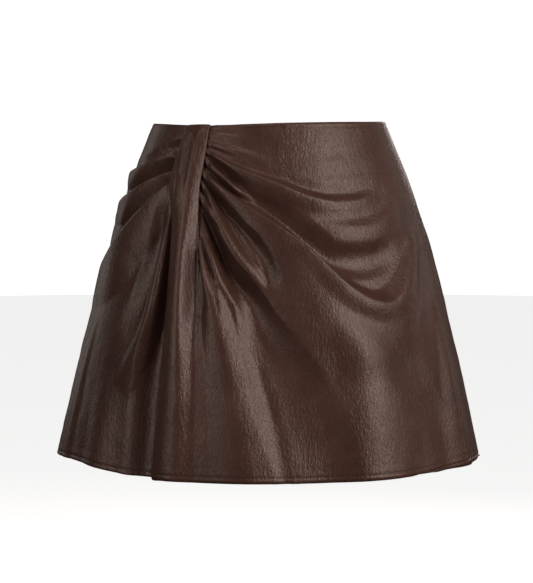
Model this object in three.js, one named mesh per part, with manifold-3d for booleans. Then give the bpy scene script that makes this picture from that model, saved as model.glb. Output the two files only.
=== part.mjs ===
// A mini skort: an A-line skirt in dark brown faux leather over a pair of plain inner shorts.
// The front is draped. Its wearer's-left half is gathered into a slash and swags away from it in
// folds; the slash is covered by a gathered column of the same piece, which falls to the hem as a
// loose flap over the wearer's-right half, whose pleats run in under it. A concealed zip closes the
// centre back.
//
// Millimetres, +Z up. The origin is the centre of the waist opening, where the wearer holds the
// garment up. -Y is the front and +X the wearer's left.
//
// A place on the garment is a `turn`, in degrees round the body from the centre front towards the
// wearer's left, a `drop`, in millimetres below the waist, and a `lift` out from the body form.

import * as THREE from "three";
import Module from "manifold-3d";

const wasm = await Module();
wasm.setup();

// ---------------------------------------------------------------- driving sizes

const WALL = 1.6; // faux leather with its knitted backing
const KNIT_WALL = 1.2; // the inner shorts' jersey
const SHORTS_CLEAR = 1.6; // between the shorts' top edge and the skirt round it
const SEAM_GAP = 0.3; // between two pieces where they are sewn
const LAYER_GAP = 1.5; // between two layers that lie on each other
const DRAPE_LIFT = 0.6; // the drape's own stand-off from the body form
const LEATHER = { color: 0x3f2b25, roughness: 0.42, metalness: 0 };
const JERSEY = { color: 0x2b1e1a, roughness: 0.9, metalness: 0 };
const TAPE = { color: 0x2e211c, roughness: 0.8, metalness: 0 };
const METAL = { color: 0x35261f, roughness: 0.35, metalness: 0.6 };

// The A-line body form, on a general figure: half the width, and the depth before and behind.
const BODY_FORM = [
  { drop: -6, half: 124, front: 90, back: 92 },
  { drop: 0, half: 126.5, front: 92, back: 94 },
  { drop: 20, half: 134.5, front: 98, back: 103 },
  { drop: 72, half: 155.5, front: 112, back: 122 },
  { drop: 120, half: 169.5, front: 123, back: 136 },
  { drop: 165, half: 182, front: 133, back: 146 },
  { drop: 225, half: 198, front: 145, back: 156 },
  { drop: 285, half: 212, front: 156, back: 165 },
  { drop: 380, half: 232, front: 170, back: 177 },
];

const SIDE_SEAM = 90 - 1e-6; // the turn past which a place is on the side seam

// Edges that go round the body.
const WAIST = { front: 0, back: 3, lean: 1, knot: 2.4, knotTurn: -30, knotSpan: 28 };
const HEM = { drop: 370, front: -1 };

// The gathered column. `left` is its free edge and `right` its lip, which covers the slash down to
// SLASH_END; below that the lip is only the valley where the column runs on into the drape.
// `edge`, `crest` and `lip` are lifts, `at` is the crest's place across the column, `foot` is where
// its far flank ends, and `roll` is 1 where that flank rolls over and 0 where it fades out.
const SLASH_END = 142;
const COLUMN = [
  { drop: -2, left: -41.5, right: -29.8, edge: 0.9, crest: 2.6, at: 0.8, lip: 2.6, foot: 1, roll: 1 },
  { drop: 14, left: -42.5, right: -29, edge: 2.2, crest: 6.8, at: 0.8, lip: 6, foot: 1, roll: 1 },
  { drop: 40, left: -42, right: -28, edge: 4, crest: 10.5, at: 0.78, lip: 8.6, foot: 1, roll: 1 },
  { drop: 66, left: -41, right: -27.7, edge: 5, crest: 12.5, at: 0.76, lip: 9.4, foot: 1, roll: 1 },
  { drop: 84, left: -38.8, right: -27, edge: 6, crest: 13.5, at: 0.7, lip: 9.2, foot: 1, roll: 1 },
  { drop: 102, left: -36.6, right: -26.4, edge: 7, crest: 14.5, at: 0.62, lip: 8.4, foot: 1, roll: 0.8 },
  { drop: 132, left: -35.2, right: -25.3, edge: 8, crest: 15.5, at: 0.5, lip: 5, foot: 0.98, roll: 0.4 },
  { drop: 184, left: -33.5, right: -22.3, edge: 9, crest: 16, at: 0.36, lip: 2, foot: 0.9, roll: 0 },
  { drop: 278, left: -31.6, right: -17.6, edge: 9, crest: 15.5, at: 0.27, lip: 2, foot: 0.8, roll: 0 },
  { drop: 372, left: -31.3, right: -14.8, edge: 7, crest: 13, at: 0.24, lip: 2, foot: 0.74, roll: 0 },
];
const SWELL = { clear: 3, rise: 0.8 }; // how fast folds rise, from just clear of the column
const BLEND = { from: 0.1, to: 0.9 }; // where the pleated half sinks from its own form to below the drape
const SLASH_SINK = { deep: 1.7, span: 10 }; // how much lower the pleated half lies at the slash's end
// How many degrees the slash's tucked side runs in under the lip, at the waist and below it, and
// from what drop it comes out again.
const TUCK = { wide: 5.2, atWaist: 0.7, fullAt: 20, fadeFrom: 95 };

// Folds. Each row is a point of the crest: its place, its height, and the widths of the flank above
// it and the flank below it. A crest is listed towards the wearer's left; one that runs down is
// listed downwards, and its `upper` flank is the one on the wearer's left. A foot under 1 meets the
// cloth in a crease, and a foot over 1 fades into it. A height under 0 is a valley.
const DRAPE_FOLDS = {
  firstGather: { upperFoot: 1.6, lowerFoot: 1.6, rows: [
    { turn: -30, drop: 12, high: 0.8, upper: 3, lower: 4 },
    { turn: -21, drop: 15, high: 1.6, upper: 4, lower: 5 },
    { turn: -6, drop: 20, high: 0, upper: 6, lower: 7 },
  ] },
  secondGather: { upperFoot: 1, lowerFoot: 1.4, rows: [
    { turn: -31, drop: 21, high: 1.6, upper: 3, lower: 3 },
    { turn: -22, drop: 26, high: 3.2, upper: 3.5, lower: 5 },
    { turn: -11, drop: 33, high: 2.2, upper: 4.5, lower: 8 },
    { turn: 2, drop: 44, high: 0, upper: 6, lower: 10 },
  ] },
  highSwag: { upperFoot: 0.9, lowerFoot: 0.85, rows: [
    { turn: -31, drop: 28, high: 4, upper: 2, lower: 3 },
    { turn: -26.4, drop: 32, high: 5, upper: 2.4, lower: 4 },
    { turn: -19, drop: 38.5, high: 6.5, upper: 3, lower: 9 },
    { turn: -14, drop: 44, high: 7.5, upper: 3.6, lower: 15 },
    { turn: -4, drop: 54.5, high: 9, upper: 5, lower: 24 },
    { turn: 6, drop: 66, high: 9.5, upper: 6.5, lower: 32 },
    { turn: 15, drop: 76.5, high: 8.5, upper: 8, lower: 40 },
    { turn: 24, drop: 81.5, high: 6.5, upper: 9, lower: 44 },
    { turn: 35.5, drop: 79, high: 4, upper: 10, lower: 38 },
    { turn: 48, drop: 72, high: 0, upper: 12, lower: 30 },
  ] },
  innerPleat: { upperFoot: 0.8, lowerFoot: 0.7, rows: [
    { turn: -31, drop: 34, high: 3.6, upper: 2, lower: 3 },
    { turn: -27, drop: 40, high: 5, upper: 2.4, lower: 4 },
    { turn: -23.4, drop: 48.5, high: 6, upper: 3, lower: 5 },
    { turn: -19, drop: 56.5, high: 6.5, upper: 3, lower: 5.5 },
    { turn: -14.6, drop: 65.5, high: 6, upper: 3.2, lower: 5.5 },
    { turn: -9.5, drop: 75.5, high: 4, upper: 3.4, lower: 5 },
    { turn: -5, drop: 86, high: 0, upper: 3, lower: 4 },
  ] },
  mainValley: { upperFoot: 1.3, lowerFoot: 0.8, rows: [
    { turn: -20, drop: 64, high: 0, upper: 4, lower: 3 },
    { turn: -12, drop: 78, high: -4, upper: 8, lower: 4.5 },
    { turn: -3, drop: 92, high: -7, upper: 12, lower: 5 },
    { turn: 6, drop: 109, high: -8, upper: 15, lower: 5.5 },
    { turn: 14.5, drop: 130, high: -7, upper: 16, lower: 6 },
    { turn: 21, drop: 150, high: -5, upper: 13, lower: 6.5 },
    { turn: 28, drop: 167, high: -3.4, upper: 9, lower: 7 },
    { turn: 35, drop: 177, high: -2.8, upper: 8, lower: 7 },
    { turn: 42, drop: 176, high: -2.4, upper: 8, lower: 7 },
    { turn: 49, drop: 161, high: 0, upper: 7, lower: 6 },
  ] },
  mainSwag: { upperFoot: 0.9, lowerFoot: 1.1, rows: [
    { turn: -31, drop: 47, high: 4, upper: 2, lower: 3.5 },
    { turn: -26.2, drop: 55.5, high: 6, upper: 2.6, lower: 5.5 },
    { turn: -18.3, drop: 70.5, high: 9, upper: 4, lower: 12 },
    { turn: -6.8, drop: 92, high: 11, upper: 5.5, lower: 28 },
    { turn: 3.5, drop: 112, high: 12.5, upper: 6.5, lower: 52 },
    { turn: 13, drop: 134.5, high: 13, upper: 7.5, lower: 72 },
    { turn: 19, drop: 154.5, high: 12.5, upper: 8.5, lower: 84 },
    { turn: 25, drop: 173.5, high: 12, upper: 10, lower: 84 },
    { turn: 33, drop: 187.5, high: 11, upper: 12, lower: 70 },
    { turn: 41.5, drop: 190, high: 10, upper: 14, lower: 46 },
    { turn: 50, drop: 179, high: 8.5, upper: 14, lower: 30 },
    { turn: 57.5, drop: 156, high: 7, upper: 14, lower: 22 },
    { turn: 63, drop: 134, high: 4.5, upper: 12, lower: 17 },
    { turn: 67, drop: 108, high: 0, upper: 9, lower: 13 },
  ] },
  swagEcho: { upperFoot: 1.2, lowerFoot: 1, rows: [
    { turn: 17, drop: 136, high: 0, upper: 8, lower: 7 },
    { turn: 24, drop: 153, high: 3.2, upper: 9, lower: 7 },
    { turn: 32, drop: 164, high: 4.6, upper: 11, lower: 8 },
    { turn: 40, drop: 162, high: 4.4, upper: 11, lower: 8 },
    { turn: 47, drop: 148, high: 2.6, upper: 10, lower: 8 },
    { turn: 52, drop: 130, high: 0, upper: 8, lower: 7 },
  ] },
  hipRoll: { upperFoot: 1.6, lowerFoot: 1.2, rows: [
    { turn: 4, drop: 104, high: 0, upper: 12, lower: 10 },
    { turn: 18, drop: 112, high: 3, upper: 16, lower: 14 },
    { turn: 33, drop: 116, high: 5.5, upper: 20, lower: 20 },
    { turn: 46, drop: 106, high: 4, upper: 20, lower: 22 },
    { turn: 58, drop: 90, high: 0, upper: 18, lower: 20 },
  ] },
  middlePleat: { upperFoot: 0.8, lowerFoot: 0.7, rows: [
    { turn: -31, drop: 58, high: 3.6, upper: 2, lower: 3 },
    { turn: -26.5, drop: 66, high: 5, upper: 2.6, lower: 4 },
    { turn: -23, drop: 78, high: 7, upper: 3.2, lower: 5.5 },
    { turn: -19, drop: 97, high: 9, upper: 4.4, lower: 8 },
    { turn: -14.5, drop: 121, high: 10.5, upper: 6.5, lower: 11 },
    { turn: -9.6, drop: 144, high: 10, upper: 8, lower: 13 },
    { turn: -5.6, drop: 162, high: 7, upper: 8, lower: 14 },
    { turn: -2, drop: 178, high: 0, upper: 7, lower: 13 },
  ] },
  pleatEndPocket: { upperFoot: 1.4, lowerFoot: 1.2, rows: [
    { turn: -16, drop: 92, high: 0, upper: 4, lower: 3 },
    { turn: -11, drop: 106, high: -3, upper: 5, lower: 4 },
    { turn: -6, drop: 121, high: -4.5, upper: 7, lower: 6 },
    { turn: -2, drop: 140, high: -4.5, upper: 8, lower: 7 },
    { turn: 0, drop: 158, high: -3, upper: 8, lower: 8 },
    { turn: 1.5, drop: 176, high: 0, upper: 8, lower: 8 },
  ] },
  shortPleat: { upperFoot: 0.7, lowerFoot: 0.7, rows: [
    { turn: -30.5, drop: 71, high: 3.4, upper: 2, lower: 3 },
    { turn: -26, drop: 81, high: 4.6, upper: 2.4, lower: 3.4 },
    { turn: -23.4, drop: 90, high: 5.4, upper: 2.6, lower: 4 },
    { turn: -21.2, drop: 98.5, high: 5, upper: 3, lower: 4.6 },
    { turn: -18.6, drop: 107, high: 0, upper: 3, lower: 4 },
  ] },
  knotHollow: { upperFoot: 1.2, lowerFoot: 1.2, rows: [
    { turn: -23, drop: 104, high: 0, upper: 4, lower: 4 },
    { turn: -18.5, drop: 128, high: -5, upper: 8, lower: 6 },
    { turn: -14.3, drop: 151, high: -7.5, upper: 11, lower: 9 },
    { turn: -10.4, drop: 168, high: -7.5, upper: 13, lower: 12 },
    { turn: -5.6, drop: 181, high: -6, upper: 15, lower: 16 },
    { turn: 0, drop: 196, high: -4.5, upper: 18, lower: 18 },
    { turn: 6, drop: 214, high: -3.2, upper: 20, lower: 20 },
    { turn: 13, drop: 240, high: -2, upper: 20, lower: 20 },
    { turn: 20, drop: 268, high: 0, upper: 20, lower: 20 },
  ] },
  narrowRidge: { upperFoot: 0.8, lowerFoot: 0.8, rows: [
    { turn: -26, drop: 108, high: 0, upper: 3, lower: 2.5 },
    { turn: -24.6, drop: 117, high: 3.6, upper: 3.6, lower: 2.6 },
    { turn: -21.3, drop: 134, high: 6, upper: 5, lower: 3 },
    { turn: -18.7, drop: 150, high: 6.5, upper: 6, lower: 4 },
    { turn: -16.7, drop: 166, high: 6, upper: 7, lower: 5 },
    { turn: -14.6, drop: 180, high: 4, upper: 9, lower: 7 },
    { turn: -12, drop: 198, high: 0, upper: 10, lower: 9 },
  ] },
  longFold: { upperFoot: 1.2, lowerFoot: 1, rows: [
    { turn: -27, drop: 112, high: 0, upper: 2.5, lower: 2.5 },
    { turn: -25.2, drop: 125, high: 3.6, upper: 3.4, lower: 2.6 },
    { turn: -22.8, drop: 148, high: 7.5, upper: 6, lower: 3.4 },
    { turn: -20.8, drop: 168, high: 9.5, upper: 10, lower: 4.4 },
    { turn: -18.6, drop: 184, high: 10.5, upper: 16, lower: 6 },
    { turn: -16.2, drop: 204, high: 11, upper: 24, lower: 8 },
    { turn: -13.4, drop: 234, high: 11.5, upper: 34, lower: 11 },
    { turn: -10.4, drop: 268, high: 11.5, upper: 40, lower: 14 },
    { turn: -8.6, drop: 302, high: 11, upper: 44, lower: 17 },
    { turn: -7.2, drop: 340, high: 10.5, upper: 48, lower: 19 },
    { turn: -6.5, drop: 380, high: 10.5, upper: 50, lower: 20 },
  ] },
  hangingFold: { upperFoot: 1.8, lowerFoot: 1.6, rows: [
    { turn: 12, drop: 192, high: 0, upper: 20, lower: 20 },
    { turn: 20, drop: 218, high: 3, upper: 24, lower: 24 },
    { turn: 27, drop: 244, high: 5, upper: 26, lower: 28 },
    { turn: 30, drop: 276, high: 5.4, upper: 26, lower: 30 },
    { turn: 30, drop: 330, high: 4.6, upper: 28, lower: 32 },
    { turn: 30, drop: 380, high: 4.6, upper: 30, lower: 34 },
  ] },
  sideFlute: { upperFoot: 1.2, lowerFoot: 1.8, rows: [
    { turn: 66, drop: 190, high: 0, upper: 8, lower: 12 },
    { turn: 65, drop: 224, high: 3, upper: 7, lower: 16 },
    { turn: 62.5, drop: 280, high: 6, upper: 9, lower: 24 },
    { turn: 60, drop: 330, high: 7, upper: 12, lower: 30 },
    { turn: 59, drop: 380, high: 7, upper: 14, lower: 32 },
  ] },
  hipSwell: { upperFoot: 2, lowerFoot: 2, rows: [
    { turn: 90, drop: 88, high: 0, upper: 26, lower: 22 },
    { turn: 90, drop: 126, high: 2.6, upper: 34, lower: 30 },
    { turn: 90, drop: 172, high: 2.8, upper: 38, lower: 34 },
    { turn: 90, drop: 214, high: 0, upper: 34, lower: 34 },
  ] },
  seamFlute: { upperFoot: 1.4, lowerFoot: 1.6, rows: [
    { turn: 80, drop: 170, high: 0, upper: 14, lower: 10 },
    { turn: 79, drop: 216, high: 3.4, upper: 18, lower: 13 },
    { turn: 78, drop: 300, high: 4.6, upper: 24, lower: 16 },
    { turn: 77, drop: 380, high: 4, upper: 30, lower: 22 },
  ] },
};

const PLEAT_FOLDS = {
  topPleat: { upperFoot: 0.7, lowerFoot: 0.8, rows: [
    { turn: -108, drop: 66, high: 0, upper: 6, lower: 10 },
    { turn: -92, drop: 61, high: 1.4, upper: 4.6, lower: 12 },
    { turn: -80, drop: 56, high: 5.6, upper: 4.2, lower: 17 },
    { turn: -69, drop: 51, high: 7, upper: 4, lower: 18 },
    { turn: -60, drop: 44, high: 7, upper: 3.6, lower: 18 },
    { turn: -52, drop: 36, high: 6.4, upper: 3.2, lower: 18 },
    { turn: -45, drop: 31.5, high: 5.4, upper: 3, lower: 16 },
    { turn: -38, drop: 31, high: 2.4, upper: 3, lower: 12 },
  ] },
  secondPleat: { upperFoot: 0.7, lowerFoot: 0.8, rows: [
    { turn: -108, drop: 99, high: 0, upper: 6, lower: 12 },
    { turn: -92, drop: 93, high: 3.4, upper: 5, lower: 18 },
    { turn: -80, drop: 87, high: 6, upper: 4.5, lower: 25 },
    { turn: -69, drop: 79, high: 7.6, upper: 4.2, lower: 26 },
    { turn: -60, drop: 69, high: 7.6, upper: 4, lower: 22 },
    { turn: -52, drop: 60, high: 7, upper: 3.6, lower: 17 },
    { turn: -45, drop: 54, high: 5.6, upper: 3.2, lower: 13 },
    { turn: -38, drop: 51.5, high: 2.4, upper: 3, lower: 9 },
  ] },
  thirdPleat: { upperFoot: 0.7, lowerFoot: 1, rows: [
    { turn: -112, drop: 176, high: 0, upper: 10, lower: 30 },
    { turn: -94, drop: 166, high: 3.4, upper: 7.5, lower: 40 },
    { turn: -80, drop: 150, high: 6.8, upper: 6, lower: 48 },
    { turn: -71, drop: 133.5, high: 9, upper: 5.2, lower: 48 },
    { turn: -64.5, drop: 116, high: 9.4, upper: 4.8, lower: 42 },
    { turn: -56, drop: 95.5, high: 9, upper: 4.4, lower: 36 },
    { turn: -49, drop: 78, high: 7.6, upper: 3.8, lower: 28 },
    { turn: -44, drop: 69, high: 6, upper: 3.4, lower: 20 },
    { turn: -38, drop: 62, high: 2.4, upper: 3, lower: 12 },
  ] },
  fallingRidge: { upperFoot: 1, lowerFoot: 1.1, rows: [
    { turn: -38.6, drop: 76, high: 0, upper: 4, lower: 5 },
    { turn: -39, drop: 98, high: 4.5, upper: 4.6, lower: 6 },
    { turn: -38.9, drop: 139, high: 8.5, upper: 6.5, lower: 8 },
    { turn: -39.4, drop: 168, high: 9.5, upper: 8, lower: 10 },
    { turn: -39.8, drop: 196, high: 9.5, upper: 9.5, lower: 12 },
    { turn: -41, drop: 222, high: 8, upper: 12, lower: 14 },
    { turn: -44, drop: 250, high: 5, upper: 15, lower: 16 },
    { turn: -48, drop: 282, high: 0, upper: 16, lower: 18 },
  ] },
  outerValley: { upperFoot: 1.3, lowerFoot: 1.2, rows: [
    { turn: -42.6, drop: 84, high: 0, upper: 4, lower: 7 },
    { turn: -43.4, drop: 105, high: -3.5, upper: 5, lower: 9 },
    { turn: -43.2, drop: 135, high: -5, upper: 6, lower: 12 },
    { turn: -44.8, drop: 170, high: -5, upper: 8, lower: 16 },
    { turn: -46.5, drop: 196, high: -4, upper: 10, lower: 18 },
    { turn: -50, drop: 228, high: 0, upper: 12, lower: 20 },
  ] },
  deepValley: { upperFoot: 1.5, lowerFoot: 1.8, rows: [
    { turn: -36.6, drop: 96, high: 0, upper: 10, lower: 5 },
    { turn: -36, drop: 150, high: -3, upper: 14, lower: 6 },
    { turn: -36, drop: 190, high: -5, upper: 18, lower: 8 },
    { turn: -36.6, drop: 240, high: -6.5, upper: 20, lower: 20 },
    { turn: -36, drop: 290, high: -6.5, upper: 22, lower: 26 },
    { turn: -35, drop: 340, high: -5.5, upper: 24, lower: 28 },
    { turn: -35, drop: 380, high: -5, upper: 24, lower: 28 },
  ] },
  hemFlute: { upperFoot: 2, lowerFoot: 2, rows: [
    { turn: -58, drop: 262, high: 0, upper: 26, lower: 26 },
    { turn: -55, drop: 310, high: 3, upper: 30, lower: 28 },
    { turn: -54, drop: 345, high: 4.5, upper: 32, lower: 30 },
    { turn: -54, drop: 380, high: 5, upper: 34, lower: 32 },
  ] },
  seamRidge: { upperFoot: 1.6, lowerFoot: 1.6, rows: [
    { turn: -74, drop: 205, high: 0, upper: 9, lower: 7 },
    { turn: -74.5, drop: 246, high: 2, upper: 10, lower: 8 },
    { turn: -75, drop: 300, high: 3.2, upper: 13, lower: 10 },
    { turn: -75.5, drop: 340, high: 3.4, upper: 16, lower: 12 },
    { turn: -75.5, drop: 380, high: 3.4, upper: 18, lower: 14 },
  ] },
  seamFlare: { upperFoot: 2, lowerFoot: 2, rows: [
    { turn: -90, drop: 92, high: 0, upper: 26, lower: 26 },
    { turn: -90, drop: 114, high: 3, upper: 30, lower: 30 },
    { turn: -90, drop: 150, high: 1.4, upper: 34, lower: 34 },
    { turn: -90, drop: 190, high: 3.2, upper: 40, lower: 40 },
    { turn: -90, drop: 270, high: 4.6, upper: 46, lower: 50 },
    { turn: -90, drop: 330, high: 6, upper: 52, lower: 60 },
    { turn: -90, drop: 380, high: 7, upper: 56, lower: 64 },
  ] },
};

// Lines that the facets follow, each with how many lines there are up to the next.
const FAN_GUIDES = [
  { from: 28, lines: 10, toTurn: 90, toDrop: 92, through: [
    { turn: -26.4, drop: 32 }, { turn: -14, drop: 44 }, { turn: -4, drop: 54.5 },
    { turn: 6, drop: 66 }, { turn: 15, drop: 76.5 }, { turn: 24, drop: 81.5 },
    { turn: 35.5, drop: 84 }, { turn: 62, drop: 86 },
  ] },
  { from: 47, lines: 7, toTurn: 90, toDrop: 228, through: [
    { turn: -26.2, drop: 55.5 }, { turn: -18.3, drop: 70.5 }, { turn: -6.8, drop: 92 },
    { turn: 3.5, drop: 112 }, { turn: 13, drop: 134.5 }, { turn: 19, drop: 154.5 },
    { turn: 25, drop: 173.5 }, { turn: 33, drop: 187.5 }, { turn: 42, drop: 196 },
    { turn: 64, drop: 212 },
  ] },
  { from: 53, lines: 6, toTurn: 90, through: [
    { turn: -22, drop: 71 }, { turn: -12, drop: 95 }, { turn: 0, drop: 128 },
    { turn: 14, drop: 176 }, { turn: 36, drop: 240 }, { turn: 62, drop: 300 },
  ] },
  { from: 58, lines: 7, toTurn: 40, through: [
    { turn: -26.5, drop: 66 }, { turn: -23, drop: 78 }, { turn: -19, drop: 97 },
    { turn: -14.5, drop: 121 }, { turn: -9.6, drop: 144 }, { turn: -5.6, drop: 162 },
    { turn: 5, drop: 202 }, { turn: 24, drop: 282 },
  ] },
  { from: 96, lines: 5, toTurn: 6, through: [
    { turn: -24.6, drop: 117 }, { turn: -21.3, drop: 134 }, { turn: -18.7, drop: 150 },
    { turn: -16.7, drop: 166 }, { turn: -13.6, drop: 188 }, { turn: -7, drop: 230 },
    { turn: 0, drop: 290 },
  ] },
  { from: 118, lines: 5, toTurn: -6.6, through: [
    { turn: -22.8, drop: 148 }, { turn: -20.8, drop: 168 }, { turn: -18.6, drop: 184 },
    { turn: -16.2, drop: 204 }, { turn: -13.4, drop: 234 }, { turn: -10.4, drop: 268 },
    { turn: -8.6, drop: 302 },
  ] },
];
const PLEAT_GUIDES = [
  { lines: 5, rows: [
    { turn: -90, drop: 60 }, { turn: -80, drop: 56 }, { turn: -69, drop: 51 },
    { turn: -60, drop: 44 }, { turn: -52, drop: 36 }, { turn: -45, drop: 31.5 },
    { turn: -38, drop: 31 },
  ] },
  { lines: 5, rows: [
    { turn: -90, drop: 92 }, { turn: -80, drop: 87 }, { turn: -69, drop: 79 },
    { turn: -60, drop: 69 }, { turn: -52, drop: 60 }, { turn: -45, drop: 54 },
    { turn: -38, drop: 51.5 },
  ] },
  { lines: 17, rows: [
    { turn: -90, drop: 163 }, { turn: -80, drop: 150 }, { turn: -71, drop: 133.5 },
    { turn: -64.5, drop: 116 }, { turn: -56, drop: 95.5 }, { turn: -49, drop: 78 },
    { turn: -44, drop: 69 }, { turn: -38, drop: 62 },
  ] },
];

// Columns of facets, from the side seam to the ridge that falls beside the column and past it.
const PLEAT_COLUMNS = [
  { columns: 15, turn: -90 },
  { columns: 4, beside: -7 },
  { columns: 3, beside: 0 },
  { columns: 4, beside: 4 },
];

// The back hangs plainly, in shallow flutes that open towards the hem.
const BACK_FLUTES = { turns: [-152, -122, 118, 149], spread: 11.5, plainTo: 50, from: 190, high: 6 };

// The inner shorts hang from the waist seam. `out` is how far a leg has parted from the body at
// that height and `crotch` how far the centre seam has curved in under it.
const SHORTS_FORM = [
  { drop: 8, half: 126, front: 89.5, back: 90.5, out: 0, crotch: 0 },
  { drop: 34, half: 135, front: 95, back: 99.5, out: 0, crotch: 0 },
  { drop: 75, half: 149, front: 103, back: 112, out: 0.05, crotch: 0 },
  { drop: 125, half: 164, front: 111, back: 123, out: 0.16, crotch: 0.02 },
  { drop: 175, half: 172, front: 116, back: 129, out: 0.42, crotch: 0.1 },
  { drop: 215, half: 175, front: 117, back: 128, out: 0.68, crotch: 0.27 },
  { drop: 240, half: 176, front: 116, back: 125, out: 0.88, crotch: 0.52 },
  { drop: 256, half: 177, front: 115, back: 122, out: 1, crotch: 1 },
];
const SHORTS_LEG = { crotchDrop: 256, hemDrop: 322, hemGap: 12, hemHalf: 179, front: 105, back: 112 };
const SHORTS_WAIST = 2.5; // how far below the skirt's edge the shorts are sewn in
const CENTRE_SHARE = 8; // how closely the centre seam's curve keeps to the centre
const LEG_DEPTH = 0.98; // a leg's depth as a share of the body's, where the two part

// The concealed zip at the centre back: two tapes behind the seam's lips, which part round the neck
// of its slider. The slider's body is behind the tapes and only its eye is outside.
const ZIP = { top: 9, length: 170, tapeWide: 12, tapeThick: 0.8, tapesApart: 1.8, behind: 0.7 };
const LIPS = { drop: 16.5, reach: 10, part: 1.8 };
const SLIDER = { wide: 5.4, tall: 9, thick: 2.4, neckWide: 1.1, neckTall: 3.8, behind: 0.6 };
const EYE = { out: 1.5, hole: 1.1, rim: 0.8, sides: 20 };
const PULL = { wide: 5, long: 17, thick: 0.9, bar: 0.9, windowWide: 2.3, windowTall: 2.4, corner: 1.4 };

// How finely each piece is cut into facets.
const FACETS = {
  raysAtWaist: 7, rings: 36, ringBias: 1.25, columnAcross: 10, columnUpper: 14,
  rowsAtWaist: 5, backAcross: 12, backDown: 14,
  shortsAcross: 20, tapeAcross: 2, tapeDown: 12, foldSteps: 6,
};

// ---------------------------------------------------------------- tables and curves

const { clamp, degToRad, lerp, smoothstep } = THREE.MathUtils;

// A table's columns at `x`, on a smooth curve through its rows, which are in order of `key`.
function readTable(rows, key, x) {
  const last = rows.length - 1;
  const at = clamp(x, rows[0][key], rows[last][key]);
  let i = 0;
  while (i < last - 1 && at > rows[i + 1][key]) i++;
  const span = rows[i + 1][key] - rows[i][key];
  const slope = (name, k) => {
    const [before, after] = [rows[Math.max(k - 1, 0)], rows[Math.min(k + 1, last)]];
    return ((after[name] - before[name]) / (after[key] - before[key])) * span;
  };
  const t = (at - rows[i][key]) / span;
  const read = {};
  for (const name of Object.keys(rows[0])) {
    read[name] = hermite(rows[i][name], rows[i + 1][name], slope(name, i), slope(name, i + 1), t);
  }
  return read;
}

function hermite(from, to, leave, arrive, t) {
  const [t2, t3] = [t * t, t * t * t];
  const tangents = leave * (t3 - 2 * t2 + t) + arrive * (t3 - t2);
  return from * (2 * t3 - 3 * t2 + 1) + to * (3 * t2 - 2 * t3) + tangents;
}

const bump = (x, centre, span) => Math.exp(-(((x - centre) / span) ** 2));

// ---------------------------------------------------------------- the body form

function bodyPoint(turn, drop) {
  const form = readTable(BODY_FORM, "drop", drop);
  const angle = degToRad(turn);
  const depth = Math.cos(angle) > 0 ? form.front : form.back;
  return new THREE.Vector3(form.half * Math.sin(angle), -depth * Math.cos(angle), -drop);
}

function bodyNormal(turn, drop) {
  const round = bodyPoint(turn + 0.5, drop).sub(bodyPoint(turn - 0.5, drop));
  const down = bodyPoint(turn, drop + 1).sub(bodyPoint(turn, drop - 1));
  return down.cross(round).normalize();
}

function clothPoint(turn, drop, lift) {
  return bodyPoint(turn, drop).addScaledVector(bodyNormal(turn, drop), lift);
}

function waistDrop(turn) {
  const face = Math.cos(degToRad(turn));
  const dip = WAIST.knot * bump(turn, WAIST.knotTurn, WAIST.knotSpan);
  const lean = WAIST.lean * Math.sin(degToRad(turn));
  return WAIST.front * Math.max(face, 0) + WAIST.back * Math.max(-face, 0) - lean + dip;
}

const hemDrop = (turn) => HEM.drop + HEM.front * Math.cos(degToRad(turn));

// ---------------------------------------------------------------- folds

// Millimetres round the body, near enough, at that height.
function arcOf(turn, drop) {
  const form = readTable(BODY_FORM, "drop", drop);
  return (degToRad(turn) * (form.half + form.front)) / 2;
}

// A fold's crest as a chain of points, smooth through its rows.
function crestLine(rows) {
  const numbered = rows.map((row, number) => ({ ...row, number }));
  const steps = (rows.length - 1) * FACETS.foldSteps;
  return Array.from({ length: steps + 1 }, (_, k) => {
    const point = readTable(numbered, "number", k / FACETS.foldSteps);
    return { ...point, arc: arcOf(point.turn, point.drop) };
  });
}

// How far one fold lifts the cloth at a place: highest on its crest, and nothing past its flanks.
function foldLift(fold, arc, drop) {
  let [nearest, side, t, at] = [Infinity, 0, 0, 1];
  for (let k = 1; k < fold.crest.length; k++) {
    const [from, to] = [fold.crest[k - 1], fold.crest[k]];
    const [across, down] = [to.arc - from.arc, to.drop - from.drop];
    const along = (arc - from.arc) * across + (drop - from.drop) * down;
    const share = clamp(along / (across ** 2 + down ** 2), 0, 1);
    const [offAcross, offDown] = [arc - from.arc - across * share, drop - from.drop - down * share];
    const distance = Math.hypot(offAcross, offDown);
    if (distance < nearest) {
      [nearest, side, t, at] = [distance, across * offDown - down * offAcross, share, k];
    }
  }
  const [from, to] = [fold.crest[at - 1], fold.crest[at]];
  const [flank, foot] = side < 0
    ? [lerp(from.upper, to.upper, t), fold.upperFoot]
    : [lerp(from.lower, to.lower, t), fold.lowerFoot];
  const off = nearest / flank;
  return off < 1 ? lerp(from.high, to.high, t) * (1 - off * off) ** foot : 0;
}

const foldsFrom = (table) => Object.values(table).map((fold) => ({ ...fold, crest: crestLine(fold.rows) }));
const drapeFolds = foldsFrom(DRAPE_FOLDS);
const pleatFolds = foldsFrom(PLEAT_FOLDS);

function foldsLift(folds, turn, drop) {
  const arc = arcOf(turn, drop);
  return folds.reduce((lift, fold) => lift + foldLift(fold, arc, drop), 0);
}

function backLift(turn, drop) {
  const open = smoothstep(drop, BACK_FLUTES.from, HEM.drop);
  const flutes = BACK_FLUTES.turns.map((at) => bump(turn, at, BACK_FLUTES.spread));
  const acrossSeam = foldsLift(turn < 0 ? pleatFolds : drapeFolds, turn, drop);
  return BACK_FLUTES.high * open * Math.max(...flutes) + acrossSeam;
}

// ---------------------------------------------------------------- the column and what lies under it

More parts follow.
